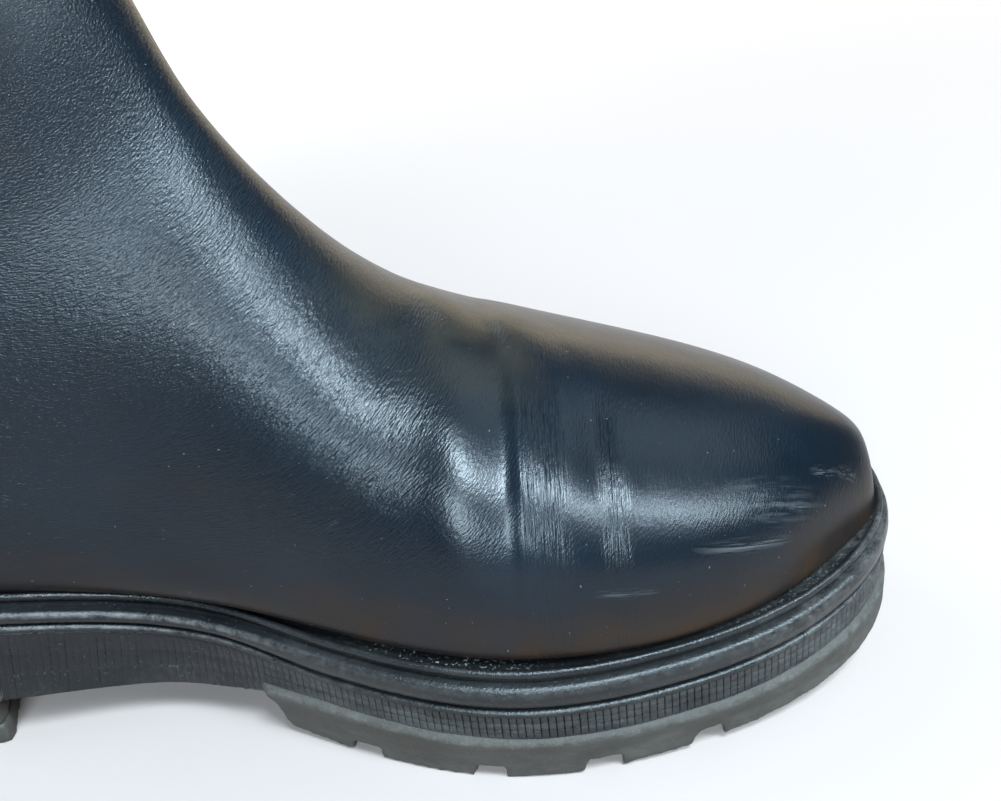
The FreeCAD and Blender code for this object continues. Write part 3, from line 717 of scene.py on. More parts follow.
FELT = board_material("needled_felt", (0.36, 0.34, 0.30))
STIFF = board_material("stiffener_sheet", (0.55, 0.53, 0.49))
STEEL = steel_material("brushed_steel_sheet")

for node_name, material in {
    "vamp_lining": LINING_CLOTH, "quarter_lining": LINING_LEATHER, "sock_lining": SOCK_LEATHER,
    "heel_pad": LINING_LEATHER, "insole_board": BOARD, "rear_filler": BOARD, "forepart_filler": FELT,
    "vamp_interlining": FELT, "toe_puff": STIFF, "heel_counter": STIFF, "shank": STEEL,
    "heel_nails": STEEL,
}.items():
    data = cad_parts[node_name].data
    data.materials.clear()
    data.materials.append(material)


# ------------------------------------------------------------------ outer leather
LEATHER_DEPTH = 1.95
MARGIN = 17.0
SEAT_LINE = [
    (-152, 37.2), (-120, 37.0), (-100, 36.9), (-75, 36.6), (-53, 35.6), (-30, 33.6),
    (-8, 31.2), (10, 29.3), (29, 27.8), (59, 26.6), (86, 26.8), (108, 28.0),
    (126, 30.4), (152, 35.5),
]
seat_z = line_of(SEAT_LINE)


def inside_depth(p, chunk=4000):
    """How far points lie inside the sole's outline, in plan."""
    o, n = COARSE_OUTLINE
    out = np.empty(len(p))
    for i in range(0, len(p), chunk):
        q = p[i:i + chunk, None, :2] - o[None]
        k = np.argmin((q ** 2).sum(2), axis=1)
        rows = np.arange(len(k))
        out[i:i + chunk] = (q[rows, k] * n[k]).sum(1)
    return out


def seam_x(z):
    c = cubic_open(SIDE_SEAM)
    return np.interp(z, c[:, 1], c[:, 0])


_gore_curve = cubic_open(GORE, 600)


def gore_distance(p, chunk=4000):
    """Signed distance outside the gore opening in the side view (negative inside)."""
    c = np.vstack([_gore_curve, [(-99, 260), (-42, 260)]])
    a, b = c, np.roll(c, -1, 0)
    out = np.empty(len(p))
    for i in range(0, len(p), chunk):
        q = p[i:i + chunk][:, [0, 2]][:, None, :]
        ab = (b - a)[None]
        t = np.clip(((q - a[None]) * ab).sum(2) / (ab ** 2).sum(2), 0, 1)
        d = np.sqrt((((a[None] + t[..., None] * ab) - q) ** 2).sum(2)).min(1)
        x, z = q[:, 0, 0][:, None], q[:, 0, 1][:, None]
        cross = ((a[None, :, 1] > z) != (b[None, :, 1] > z)) & (
            x < (b[None, :, 0] - a[None, :, 0]) * (z - a[None, :, 1])
            / (b[None, :, 1] - a[None, :, 1] + 1e-12) + a[None, :, 0])
        out[i:i + chunk] = np.where(cross.sum(1) % 2 == 1, -d, d)
    return out


CREASE = [(59.2, 18.5), (62.5, 1.4), (65.4, -8.7), (66.6, -22.8), (67.1, -36.5), (66.9, -45.8), (67.3, -52)]


def crease_x(y):
    """x of the main flex crease across the vamp, by y."""
    c = np.array(CREASE)[::-1]
    far_x, far_y = CREASE[0]
    return np.where(y > far_y, far_x - 0.06 * (y - far_y), np.interp(y, c[:, 1], c[:, 0]))


FOLD_Y, FOLD_SPAN = 36, 17     # the folds are deepest this far out on the medial side
RIDGE_HEIGHT, BULGE_HEIGHT = 1.40, 1.45
TOE_FOLD_SHIFT = 11.6          # from the main crease to the softer one nearer the toe
WRINKLES = [(0.6, -36, 14, 0.05), (2.4, -31, 12, 0.04), (12.9, -41, 9, 0.04)]   # shift, y, span, depth


def vamp_relief(p):
    """Height of the leather over the last, mm, at points p: creases, folds and slack."""
    x, y, z = p.T
    over = z - welt_z(x)
    wob = noise_field(p * np.array([1, 1, 0.5]), 14.0, 5) * 0.7
    near = smooth((over - 1.0) / 8.0)
    hidden = 1 - 0.45 * smooth((y - 5) / 25.0)          # the lateral side is less deeply folded
    main = x - crease_x(y) + wob
    medial = bell(y + FOLD_Y, FOLD_SPAN)
    deep = 0.30 + 0.80 * medial + 0.35 * bell(y - 2, 10)
    # steep rise from the valley to the pleated ridge, then a long fall; a bulge behind the valley
    ridge = smooth((main + 6.2) / 5.0) * (1 - 0.8 * smooth(main / 11.0))
    bulge = smooth((over - 8.0) / 12.0) * bell(main + 15.0, 7.0)
    h = deep * (RIDGE_HEIGHT * ridge + BULGE_HEIGHT * bulge)
    # second, softer fold nearer the toe
    second = x - (crease_x(y) + TOE_FOLD_SHIFT) + 1.2 * wob
    h += medial * (-0.36 * bell(second, 2.3) + 0.30 * bell(second - 4.8, 3.2))
    # short wrinkles between the folds
    for shift, dy, span, depth in WRINKLES:
        h -= depth * bell(x - (crease_x(y) + shift) + 1.2 * wob, 0.6) * bell(y - dy, span)
    # diagonal fold over the instep
    fold = (z - 84) * 0.9 - (x - 46) * 0.55
    h += 0.55 * bell(fold + 4, 6.0) * bell(y + 8, 20) * bell(x - 46, 15)
    h -= 0.35 * bell(fold - 5.0, 4.0) * bell(y + 8, 18) * bell(x - 46, 13)
    # slack drapes across the quarter and up the shaft front
    slack = noise_field(p * np.array([0.6, 1, 1.0]), 22.0, 8)
    h += 0.45 * slack * smooth((z - 45) / 25) * smooth((60 - x) / 40)
    h += 0.05 * noise_field(p, 7.0, 9) * smooth((z - 40) / 12)
    return h * near * hidden


def edge_round(d, radius=0.7, drop=0.45):
    """How far a leather face drops beside its cut edge."""
    t = np.clip(1 - d / radius, 0, 1)
    return drop * (1 - np.sqrt(np.clip(1 - t ** 2, 0, 1)))


def leather_piece(name, keep, us, vs):
    """Panel of the lasted skin, cut to the fields in keep and rounded along those with edge loops."""
    outer = skin_grid(us, vs, 0.0)
    inner = skin_grid(us, vs, LEATHER_DEPTH)
    nu, nv = outer.shape[:2]
    attrs = np.c_[outer.reshape(-1, 3), inner.reshape(-1, 3)]
    tris = grid_tris(nu, nv, True)
    for field, loops in keep:
        for level in loops:
            attrs, tris = split(attrs, tris, field(attrs[:, :3]) - level, keep=False)
        attrs, tris = split(attrs, tris, field(attrs[:, :3]))
    a, b = attrs[:, :3], attrs[:, 3:]
    n = unit(a - b, 1e-9)
    lift = vamp_relief(a)
    drop = np.zeros(len(a))
    for field, loops in keep:
        if loops:
            drop = np.maximum(drop, edge_round(field(a)))
    fade = smooth(gore_distance(a) / 6.0) * smooth((top_z(a[:, 0]) - 5.5 - a[:, 2]) / 6.0)
    fade *= smooth((a[:, 0] - seam_x(a[:, 2])) / 5.0)
    outer = a + n * (lift * fade - drop)[:, None]
    inner = b + n * (np.minimum(lift, 0) * fade)[:, None]
    verts, faces = closed_shell(outer, inner, tris)
    tags = {key: np.r_[value, value * 0] for key, value in leather_tags(a).items()}
    return add_mesh(name, verts, faces, LEATHER, 50, tags)


def leather_tags(p):
    """Where the leather is browned low down (painted reflection of the warm ground, with warm tone in random
    patches), olive along the ridge (painted reflection), pleated, drawn into long grain or pebbled, 0 to 1.
    """
    x, y, z = p.T
    over = z - welt_z(x)
    patch = noise_field(p, 11.0, 21, 3)
    # painted reflection of the warm ground, strongest low down, plus warm tone in random patches
    warm_tone_and_reflection = smooth(1 - (over - 1.5) / 17.0) * (0.60 + 0.6 * patch) + 0.25 * smooth(patch - 0.2)
    ridge = bell(y + 4, 17) * smooth((x - 18) / 20) * smooth((72 - x) / 12)
    # painted reflection: olive tint along the ridge
    olive_ridge_reflection = ridge * (0.55 + 0.9 * patch) * 0.9
    d = x - crease_x(y)
    crease = smooth((d + 3.5) / 2.0) * smooth((7.5 - d) / 4.0) * smooth(-(y + 2) / 16.0)
    crease += 0.9 * bell(d - 14.5, 2.6) * smooth(-(y + 12) / 14.0)
    drape = smooth((58 - x) / 20) * smooth((z - 42) / 12)
    grainy = bell(x - 40, 30) * smooth((z - 36) / 8) * (0.7 + 0.5 * patch)
    tags = {"warm_tone_and_reflection": warm_tone_and_reflection, "olive_ridge_reflection": olive_ridge_reflection, "crease": crease, "drape": drape, "grainy": grainy}
    return {key: np.clip(value, 0, 1) for key, value in tags.items()}


def u_samples(count):
    """u values packed more closely through the flexing zone of the vamp."""
    u = np.linspace(0, 1, 800)
    x = skin_points(u, np.full(800, 0.25), 0.0)[:, 0]
    density = 1 + 1.5 * bell(x - 69, 15) * (u < 0.5)
    c = np.r_[0, np.cumsum(density[1:])]
    return np.interp(np.linspace(0, c[-1], count), c, u)


def under_top(p):
    return top_z(p[:, 0]) - p[:, 2]


def off_window(p):
    """Positive outside the opening under the insole board."""
    return np.maximum(MARGIN - inside_depth(p), p[:, 2] - seat_z(p[:, 0]) - 6.5)


EDGE_LOOPS = (0.7, 0.3)
SEAM_GAP = 0.08
VAMP_ROWS, QUARTER_ROWS, AROUND = 330, 230, 236
QUARTER_START = 0.35           # the rear panels lie beyond this u
us, vs = u_samples(VAMP_ROWS), np.arange(AROUND) / AROUND
vamp = leather_piece("vamp_leather", [
    (lambda p: p[:, 0] - seam_x(p[:, 2]) - SEAM_GAP, EDGE_LOOPS), (gore_distance, EDGE_LOOPS),
    (under_top, ()), (off_window, ()),
], us, vs)
settle(vamp, "upper_leather", "vamp")

us = np.linspace(QUARTER_START, 1, QUARTER_ROWS)
for side, label in ((-1, "medial"), (1, "lateral")):
    quarter = leather_piece("quarter_leather_" + label, [
        (lambda p: seam_x(p[:, 2]) - p[:, 0] - SEAM_GAP, EDGE_LOOPS), (gore_distance, EDGE_LOOPS),
        (lambda p, side=side: p[:, 1] * side - SEAM_GAP, ()), (under_top, ()), (off_window, ()),
    ], us, vs)
    settle(quarter, "upper_leather", "quarter_" + label)


# ------------------------------------------------------------------ sole layers
REED_PITCH = 1.6
RIBS = int(round(PERIMETER / REED_PITCH))


def ring_faces(rows, count):
    """Quads of a closed profile swept right round the outline."""
    i = np.arange(rows)[:, None]
    j = np.arange(count)[None, :]
    a, b = i * count + j, i * count + (j + 1) % count
    c, d = ((i + 1) % rows) * count + (j + 1) % count, ((i + 1) % rows) * count + j
    a, b, c, d = [np.broadcast_to(q, (rows, count)).ravel() for q in (a, b, c, d)]
    return np.c_[a, b, c, d]


LEAN_AHEAD = 24                # the reeding starts to lean this far ahead of the waist


def waist_amount(x):
    """0 on the forepart, 1 from the waist back."""
    return smooth((20 - x) / 26)


def ring_sweep(profile, s, shift=None, seed=3, rough=0.06, lean_from=None):
    """Vertices of the profile [(inset, dz), ...] swept round; shift adds per row and sample."""
    plain = outline_at(s)
    x = plain[0][:, 0]
    slope = (welt_z(x + 1.0) - welt_z(x - 1.0)) / 2.0
    heading = (outline_at(s + 0.5)[0] - outline_at(s - 0.5)[0])[:, 0]
    verts = []
    for r, (inset, dz) in enumerate(profile):
        o, n = plain
        if lean_from is not None and r >= lean_from:
            # reeding stands square to the line of the sole
            hang = dz(x) - profile[lean_from][1](x)
            o, n = outline_at(s + slope * -hang * heading * waist_amount(x - LEAN_AHEAD))
        extra = 0.0 if shift is None else shift[r]
        row = np.c_[o + n * np.reshape(inset + extra, (-1, 1)), np.zeros(len(s))]
        row[:, 2] = welt_z(row[:, 0]) + (dz(row[:, 0]) if callable(dz) else dz)
        row[:, :2] += n * (noise_field(row, 4.0, seed, 2) * rough)[:, None]
        verts.append(row)
    return np.vstack(verts)


def sole_wear(p):
    """Dust and scuffing on the sole, strongest round the toe."""
    toe = smooth((p[:, 0] - 96) / 40) * 0.55
    return np.clip(toe * (0.6 + 0.9 * noise_field(p, 6.0, 31, 3)) + 0.22 * noise_field(p, 12.0, 32, 2), 0, 1)


s_plain = np.linspace(0, PERIMETER, 1100, endpoint=False)
WELT_PROFILE = [
    (10.0, -1.3), (4.2, -1.3), (3.5, -1.1), (3.1, -0.6), (2.75, -0.12), (2.35, 0.0), (1.95, -0.12),
    (1.72, -0.45), (1.65, -1.0), (1.75, -1.55), (2.1, -1.95), (10.0, -2.0),
]
WELT_TUCK = 1.3                # the welt draws in under the upper at the waist
GLUED_ROWS = [0, 1, 1, 1, 0.5] + [0] * 7
tuck = WELT_TUCK * waist_amount(outline_at(s_plain)[0][:, 0])
tuck = np.array([0] + [1] * 10 + [0])[:, None] * tuck
verts = ring_sweep(WELT_PROFILE, s_plain, tuck, rough=0.12)
glue = bell(verts[:, 0] - 46, 13) + 0.25 * bell(verts[:, 0] - 118, 14)
glue = np.repeat(GLUED_ROWS, len(s_plain)) * glue * (verts[:, 1] < 0)
# painted shade: no dust on the welt at the waist, where it lies in shade under the upper
welt = add_mesh("welt_ring", verts, ring_faces(len(WELT_PROFILE), len(s_plain)), SIDEWALL, 50,
                {"wear_and_highlight": sole_wear(verts) * 0.8, "dust_and_shade": 0.25 * (1 - waist_amount(verts[:, 0])), "glue": glue})
settle(welt, "sidewall_rubber", "welt")


def rib_dz(fore, waist):
    return lambda x: fore + (waist - fore) * waist_amount(x)


RIB = [(0.0, 1.25), (0.07, 0.6), (0.25, 0.28), (0.5, 0.18), (0.75, 0.3), (0.93, 0.65), (1.0, 1.3)]
BEAD = [(0.0, 1.2), (0.2, 0.75), (0.5, 0.6), (0.8, 0.78), (1.0, 1.35)]
MIDSOLE_PROFILE = [(9.0, -2.05), (2.7, -2.05), (2.7, -3.1)]
MIDSOLE_PROFILE += [(inset, rib_dz(-3.2 - 5.3 * t, -2.8 - 3.1 * t)) for t, inset in RIB]
MIDSOLE_PROFILE += [(2.2, rib_dz(-8.55, -5.95)), (2.2, rib_dz(-9.55, -6.75))]
MIDSOLE_PROFILE += [(inset, rib_dz(-9.6 - 1.7 * t, -6.8 - 2.1 * t)) for t, inset in BEAD]
band_start = len(MIDSOLE_PROFILE)
BAND = [0.0, 0.06, 0.30, 0.335, 0.37, 0.62, 0.655, 0.69, 0.95, 1.0]
BAND_LINES = {3: 0.12, 6: 0.12}


def band_dz(t):
    """Height of a row of the reeded band; at the waist the band runs down to the sole's lower edge."""
    def rise(x):
        foot = np.where((x > -57) & (x < 4.0), tread_z(x) - welt_z(x) + 0.5, -MIDSOLE_DEPTH)
        w = waist_amount(x)
        return (-11.4 - 5.8 * t) * (1 - w) + (-9.1 + (foot + 9.1) * t) * w
    return rise


MIDSOLE_PROFILE += [(1.22 + BAND_LINES.get(i, 0.0), band_dz(t)) for i, t in enumerate(BAND)]
band_end = len(MIDSOLE_PROFILE)
MIDSOLE_PROFILE += [(9.0, band_dz(1.0))]
FRACTIONS = np.array([0.0, 0.085, 0.17, 0.5, 0.83, 0.915])
s_ribs = ((np.arange(RIBS)[:, None] + FRACTIONS[None]) * PERIMETER / RIBS).ravel()
rib_waist = waist_amount(outline_at(s_ribs)[0][:, 0])
slit = np.tile([0.34, 0.07, 0.0, 0.0, 0.0, 0.08], RIBS)
slit *= np.repeat(1 + 0.25 * rng.uniform(-1, 1, RIBS), len(FRACTIONS))
slit *= 1 - 0.6 * rib_waist
rows = len(MIDSOLE_PROFILE)
shift = np.zeros((rows, len(s_ribs)))
shift[band_start + 1:band_end - 1] = slit
verts = ring_sweep(MIDSOLE_PROFILE, s_ribs, shift, seed=4, rough=0.07, lean_from=band_start)
waist = waist_amount(verts[:, 0])
in_band = np.zeros((rows, len(s_ribs)))
in_band[band_start:band_end] = 1.0
# painted shade: the deep slits of the reeding get less dust, so they stay darker
in_band[band_start + 1:band_end - 1] -= 0.8 * (slit > 0.12)
# dust on the sidewall, withheld towards the waist as painted shade
dust_and_shade = np.maximum(0.30 - 0.27 * waist, in_band.ravel() * (1 - 0.97 * waist))
# painted highlight: lighter colour along the shoulders of the rib and the bead, strongest at the waist, added
# to the wear
shoulder_highlight = np.zeros((rows, 1))
shoulder_highlight[[4, 5, 13]] = [[0.5], [0.8], [0.7]]             # the shoulders of the rib and the bead
shoulder_highlight = (shoulder_highlight * (0.25 + 0.75 * rib_waist)).ravel()
midsole = add_mesh("midsole_ring", verts, ring_faces(rows, len(s_ribs)), SIDEWALL, 48,
                   {"wear_and_highlight": np.clip(sole_wear(verts) + shoulder_highlight, 0, 1), "dust_and_shade": dust_and_shade})
settle(midsole, "sidewall_rubber", "midsole")


def read(layer, key, kind, width):
    out = np.empty(len(layer) * width, kind)
    layer.foreach_get(key, out)
    return out.reshape(-1, width) if width > 1 else out


def moulded(node, name, passes=2):
    """The CAD node's form as an even mesh with softened edges, vertices in mm."""
    work = bpy.data.objects.new(name + "_work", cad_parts[node].data.copy())
    bpy.context.scene.collection.objects.link(work)
    remesh = work.modifiers.new("even", "REMESH")
    remesh.mode = "VOXEL"
    remesh.voxel_size = VOXEL * MM
    ease = work.modifiers.new("ease", "SMOOTH")
    ease.iterations = passes
    ease.factor = 0.5
    graph = bpy.context.evaluated_depsgraph_get()
    mesh = bpy.data.meshes.new_from_object(work.evaluated_get(graph))
    bpy.data.objects.remove(work)
    verts = read(mesh.vertices, "co", float, 3) / MM
    normals = read(mesh.vertices, "normal", float, 3)
    loops = read(mesh.loops, "vertex_index", np.int32, 1)
    sizes = read(mesh.polygons, "loop_total", np.int32, 1)
    bpy.data.meshes.remove(mesh)
    starts = np.r_[0, np.cumsum(sizes)[:-1]]
    faces = [loops[starts[sizes == k][:, None] + np.arange(k)] for k in (3, 4) if (sizes == k).any()]
    return verts, normals, faces


VOXEL = 0.8
BEVEL_DEPTH, BEVEL_INSET = 1.3, 1.45
NOTCH_CUTS = [(26, 6.4), (53, 6.3), (76.5, 7.4), (98.5, 5.6)]      # x, width
NOTCH_RISE = 1.2


def moulded_rubber(node, name):
    verts, normals, faces = moulded(node, name)
    lumps = 0.05 * noise_field(verts, 2.2, 41, 2) + 0.10 * noise_field(verts, 9.0, 42, 2)
    verts = verts + normals * lumps[:, None]
    x, z = verts[:, 0], verts[:, 2]
    if node == "outsole":
        # the tread's top edge is bevelled, and its notches are cut a little higher
        over = welt_z(x) - MIDSOLE_DEPTH - z
        rows = np.where((over > -0.8) & (over < BEVEL_DEPTH + 0.5) & (x > -150))[0]
        depth_in = inside_depth(verts[rows])
        need = BEVEL_INSET * np.clip(1 - over[rows] / BEVEL_DEPTH, 0, 1)
        move = np.where(depth_in < need, need - depth_in, 0)
        o, n = COARSE_OUTLINE
        near = np.array([np.argmin(((o - q) ** 2).sum(1)) for q in verts[rows][:, :2]])
        verts[rows, :2] += n[near] * move[:, None]
        for notch, width in NOTCH_CUTS:
            span = smooth((width / 2 + 0.4 - np.abs(x - notch)) / 0.8)
            height = z - tread_z(x)
            verts[:, 2] += NOTCH_RISE * span * (1 - smooth((height - 2.0) / 3.0)) * (height > 0.6)
    low = 1 - smooth((z - tread_z(x)) / 9.0)
    wear_and_highlight = np.clip(sole_wear(verts) + 0.45 * low * (0.5 + 0.8 * noise_field(verts, 5.0, 43, 3)), 0, 1)
    dust_and_shade = (0.75 + 0.35 * noise_field(verts, 10.0, 44, 2)) * (1 - 0.85 * bell(x + 28, 30))
    rim_drop = welt_z(x) - MIDSOLE_DEPTH - z
    # painted highlight: lighter colour along the top edge of the lower wall on the forepart
    wear_and_highlight = np.clip(wear_and_highlight + 0.4 * bell(rim_drop - BEVEL_DEPTH, 0.6) * (x > 0), 0, 1)
    obj = add_mesh(name, verts, faces, TREAD, None, {"wear_and_highlight": wear_and_highlight, "dust_and_shade": dust_and_shade})
    return settle(obj, "tread_rubber", node)


moulded_rubber("outsole", "outsole_tread")
moulded_rubber("heel_block", "heel_block_rubber")
moulded_rubber("heel_top_piece", "heel_top_tread")

# ------------------------------------------------------------------ sock lining and heel pad
for node, name, crown, fill, material in (
    ("sock_lining", "sock_lining_foam", 0.0, 0.95, SOCK_LEATHER),
    ("heel_pad", "heel_pad_foam", 0.35, 0.8, LINING_LEATHER),
):
    verts, normals, faces = moulded(node, name, passes=3)
    lowest, highest = verts.min(0), verts.max(0)
    centre = (lowest + highest) / 2
    reach = np.abs((verts - centre) / ((highest - lowest) / 2 + 1e-6))[:, :2].max(1)
    up_face = smooth(normals[:, 2])
    verts[:, 2] += up_face * (crown * (1 - reach ** 2) + 0.12 * noise_field(verts, 14.0, 51, 2))
    piece = add_mesh(name, verts, faces, material)
    settle(piece, "lining_leather", node)


# ------------------------------------------------------------------ elastic gores
RIB_PITCH = 1.4
GORE_TUCK = 7.0
GORE_TIP = (-72, 88)
WEB_BOTTOM, WEB_HEIGHT = 81.5, 109.0
WEB_OUTER, WEB_INNER = 2.15, 3.05      # insets of the two faces
WEB_ROWS, WEB_COLS = 72, 240


def gore_web(node, name, side):
    front = np.array([p for p in GORE if p[0] > GORE_TIP[0]] + [GORE_TIP], float)
    rear = np.array([p for p in GORE if p[0] < GORE_TIP[0]][::-1] + [GORE_TIP], float)
    t = np.linspace(0, 1, WEB_ROWS)
    z = WEB_BOTTOM + (smooth(t) * 0.25 + t * 0.75) * WEB_HEIGHT
    zf = np.clip(z + 4, front[-1, 1], 212)
    tuck = GORE_TUCK * smooth((z - 80.5) / 7.0)
    xf = np.interp(zf, front[::-1, 1], front[::-1, 0]) + tuck
    xr = np.interp(zf, rear[::-1, 1], rear[::-1, 0]) - tuck
    x = xr[:, None] + (xf - xr)[:, None] * np.linspace(0, 1, WEB_COLS)[None]
    zz = np.minimum(np.broadcast_to(z[:, None], x.shape), top_z(x) - 0.3)
    u, v = locate(x.ravel(), zz.ravel(), [0, 2], on_side(side))
    outer, inner = skin_points(u, v, WEB_OUTER), skin_points(u, v, WEB_INNER)
    n = unit(outer - inner)
    ribs = np.cos(2 * math.pi * outer[:, 0] / RIB_PITCH)
    lift = 0.16 * np.sign(ribs) * np.abs(ribs) ** 0.6 + 0.10 * noise_field(outer, 8.0, 61)
    tris = face_out(outer, grid_tris(WEB_ROWS, WEB_COLS, False), n[0])
    verts, faces = closed_shell(outer + n * lift[:, None], inner, tris)
    return settle(add_mesh(name, verts, faces, ELASTIC, 60), "elastic", node)


gore_web("gore_medial", "gore_web_medial", -1)
gore_web("gore_lateral", "gore_web_lateral", 1)


# ------------------------------------------------------------------ topline binding
def height_u(v, inset, rise):
    """u on each ring line v where the skin stands rise above the topline."""
    low, high = np.full(len(v), 0.55), np.ones(len(v))
    for _ in range(26):
        mid = (low + high) / 2
        p = skin_points(mid, v, inset)
        above = p[:, 2] > top_z(p[:, 0]) + rise
        high = np.where(above, mid, high)
        low = np.where(above, low, mid)
    return (low + high) / 2


BINDING_PATH = [                # inset, height over the topline
    (-0.62, -5.5), (-0.68, -5.0), (-0.70, -3.5), (-0.70, -1.2), (-0.55, -0.1), (0.1, 0.62),
    (1.2, 0.80), (2.6, 0.84), (3.9, 0.70), (4.7, 0.1), (4.92, -1.2), (4.92, -5.0), (4.85, -5.5),
    (4.35, -5.4), (4.3, -0.5), (3.6, -0.02), (0.6, -0.02), (-0.02, -0.6), (-0.04, -5.4),
]
vb = np.arange(520) / 520
ripple = 0.05 * np.sin(2 * math.pi * vb * 37) + 0.04 * np.sin(2 * math.pi * vb * 83)
loops = []
for inset, rise in BINDING_PATH:
    p = skin_points(height_u(vb, inset, rise), vb, inset)
    p[:, 2] += ripple * smooth((rise + 6) / 4)
    loops.append(p)
verts = np.vstack(loops)
binding = add_mesh("topline_tape", verts, ring_faces(len(BINDING_PATH), len(vb)), TAPE, 60)
settle(binding, "tape", "topline_binding")

# ------------------------------------------------------------------ back strip
STRIP_BOTTOM, STRIP_TOP = 34.5, 186.3
STRIP_HALF, STRIP_MARGIN = 8.0, 0.05
STITCH_LINE = 6.2
rows, cols = 110, 25
reach = STRIP_HALF - STRIP_MARGIN
yy, zz = np.meshgrid(np.linspace(-reach, reach, cols), np.linspace(STRIP_BOTTOM, STRIP_TOP, rows))
yy, zz = yy.ravel(), zz.ravel()
u, v = locate(yy, zz, [1, 2], at_back)
outer, inner = skin_points(u, v, -1.1), skin_points(u, v, -0.05)
n = unit(outer - inner)
edge = np.minimum(STRIP_HALF - np.abs(yy), np.minimum(zz - STRIP_BOTTOM, STRIP_TOP - zz))
seat_of_stitch = bell(np.abs(yy) - STITCH_LINE, 0.8) * 0.14
outer = outer - n * (edge_round(edge, 0.8, 0.4) + seat_of_stitch)[:, None]
verts, faces = closed_shell(outer, inner, face_out(outer, grid_tris(rows, cols, False), n[0]))
strip = add_mesh("back_strip_leather", verts, faces, STRIP_LEATHER, 50)
settle(strip, "upper_leather", "back_strip")

# ------------------------------------------------------------------ pull loop
TAB_X, TAB_Z = -126.3, 194.2
TAB_SIDE = [(0.85, 0.9), (1.3, 6.0), (2.6, 12.0), (3.6, 18.0), (2.9, 23.5), (0.0, 26.0)]
TAB_THICK, TAB_HALF = 1.05, 9.9
TAB_RIB = 1.3
TAB_ROWS, TAB_COLS = 150, 21
y = np.linspace(-TAB_HALF, TAB_HALF, TAB_COLS)


def end_rows(inset, z_values):
    yy, zz = np.meshgrid(y, z_values)
    u, v = locate(yy.ravel(), zz.ravel(), [1, 2], at_back)
    return skin_points(u, v, inset).reshape(len(z_values), TAB_COLS, 3)


arc = cubic_open(TAB_SIDE + [(-x, z) for x, z in TAB_SIDE[-2::-1]], 60)
loop = np.empty((len(arc), TAB_COLS, 3))
loop[..., 0] = TAB_X + arc[:, 0][:, None]
loop[..., 1] = y
loop[..., 2] = TAB_Z + arc[:, 1][:, None]
inner_end = end_rows(5.6, np.linspace(172.2, 190.5, 22))
outer_end = end_rows(-1.83, np.linspace(190.0, 163.2, 30))
path = np.concatenate([inner_end, loop, outer_end])
flat = path.reshape(len(path), -1)
path_len = np.r_[0, np.cumsum(np.linalg.norm(np.diff(path[:, TAB_COLS // 2], axis=0), axis=1))]
even = np.linspace(0, path_len[-1], TAB_ROWS)
strap = np.array([np.interp(even, path_len, flat[:, k]) for k in range(flat.shape[1])]).T
for _ in range(6):
    strap[1:-1] = 0.25 * strap[:-2] + 0.5 * strap[1:-1] + 0.25 * strap[2:]
strap = strap.reshape(TAB_ROWS, TAB_COLS, 3)
n = unit(np.cross(np.gradient(strap, axis=1), np.gradient(strap, axis=0)))
rib = 0.05 * np.sign(np.sin(even * 2 * math.pi / TAB_RIB))[:, None, None]
selvedge = 0.07 * bell(np.abs(y) - 8.9, 0.6)[None, :, None]
offset = n * (TAB_THICK / 2 + rib + selvedge)
face_a, face_b = (strap + offset).reshape(-1, 3), (strap - offset).reshape(-1, 3)
tris = face_out(face_a, grid_tris(TAB_ROWS, TAB_COLS, False), n[0, 0])
verts, faces = closed_shell(face_a, face_b, tris)
tab = add_mesh("pull_tab_strap", verts, faces, TAPE, 60)
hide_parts("pull_tab", "pull_tab_ends")
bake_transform(tab)


# ------------------------------------------------------------------ stitches
def capsule(length, radius, rings=5, sides=8):
    """Rounded thread segment along x, centred."""
    verts = []
    for i in range(rings):
        t = -1 + 2 * i / (rings - 1)
        r = radius * math.sqrt(max(0.0, 1 - abs(t) ** 3)) * (0.999 if 0 < i < rings - 1 else 0.35) + 1e-4
        for k in range(sides):
            a = 2 * math.pi * k / sides
            verts.append((t * length / 2, r * math.cos(a), r * math.sin(a)))
    faces = []
    for i in range(rings - 1):
        for k in range(sides):
            k2 = (k + 1) % sides
            faces.append((i * sides + k, i * sides + k2, (i + 1) * sides + k2, (i + 1) * sides + k))
    caps = [tuple(range(sides))[::-1], tuple((rings - 1) * sides + k for k in range(sides))]
    return np.array(verts), np.array(faces), np.array(caps)


STITCH_LENGTH, STITCH_RADIUS = 2.7, 0.27


def stitches(node, name):
    """One rounded thread on each stitch of the CAD node."""
    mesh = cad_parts[node].data
    co = read(mesh.vertices, "co", float, 3) / MM
    keys = {}
    weld = np.array([keys.setdefault(tuple(k), len(keys)) for k in np.round(co * 50).astype(int).tolist()])
    owner = np.arange(len(keys))

    def root_of(k):
        while owner[k] != k:
            owner[k] = owner[owner[k]]
            k = owner[k]
        return k

    for poly in mesh.polygons:
        roots = [root_of(weld[k]) for k in poly.vertices]
        for r in roots:
            owner[r] = min(roots)
    owner = np.array([root_of(k) for k in range(len(owner))])
    place = np.zeros((len(keys), 3))
    place[weld] = co
    cap_v, cap_f, cap_c = capsule(STITCH_LENGTH, STITCH_RADIUS)
    verts, sides, caps = [], [], []
    for count, root in enumerate(np.unique(owner)):
        pts = place[owner == root]
        centre = pts.mean(0)
        verts.append(centre + cap_v @ np.linalg.svd(pts - centre)[2])
        sides.append(cap_f + count * len(cap_v))
        caps.append(cap_c + count * len(cap_v))
    obj = add_mesh(name, np.vstack(verts), [np.vstack(sides), np.vstack(caps)], THREAD)
    return settle(obj, "thread", node)


stitches("gore_stitching", "gore_thread")
stitches("side_seam_stitching", "side_seam_thread")
stitches("topline_stitching", "topline_thread")
stitches("back_strip_stitching", "back_strip_thread")


# ------------------------------------------------------------------ studio
AIM = Vector((0.05, -0.02, 0.06))


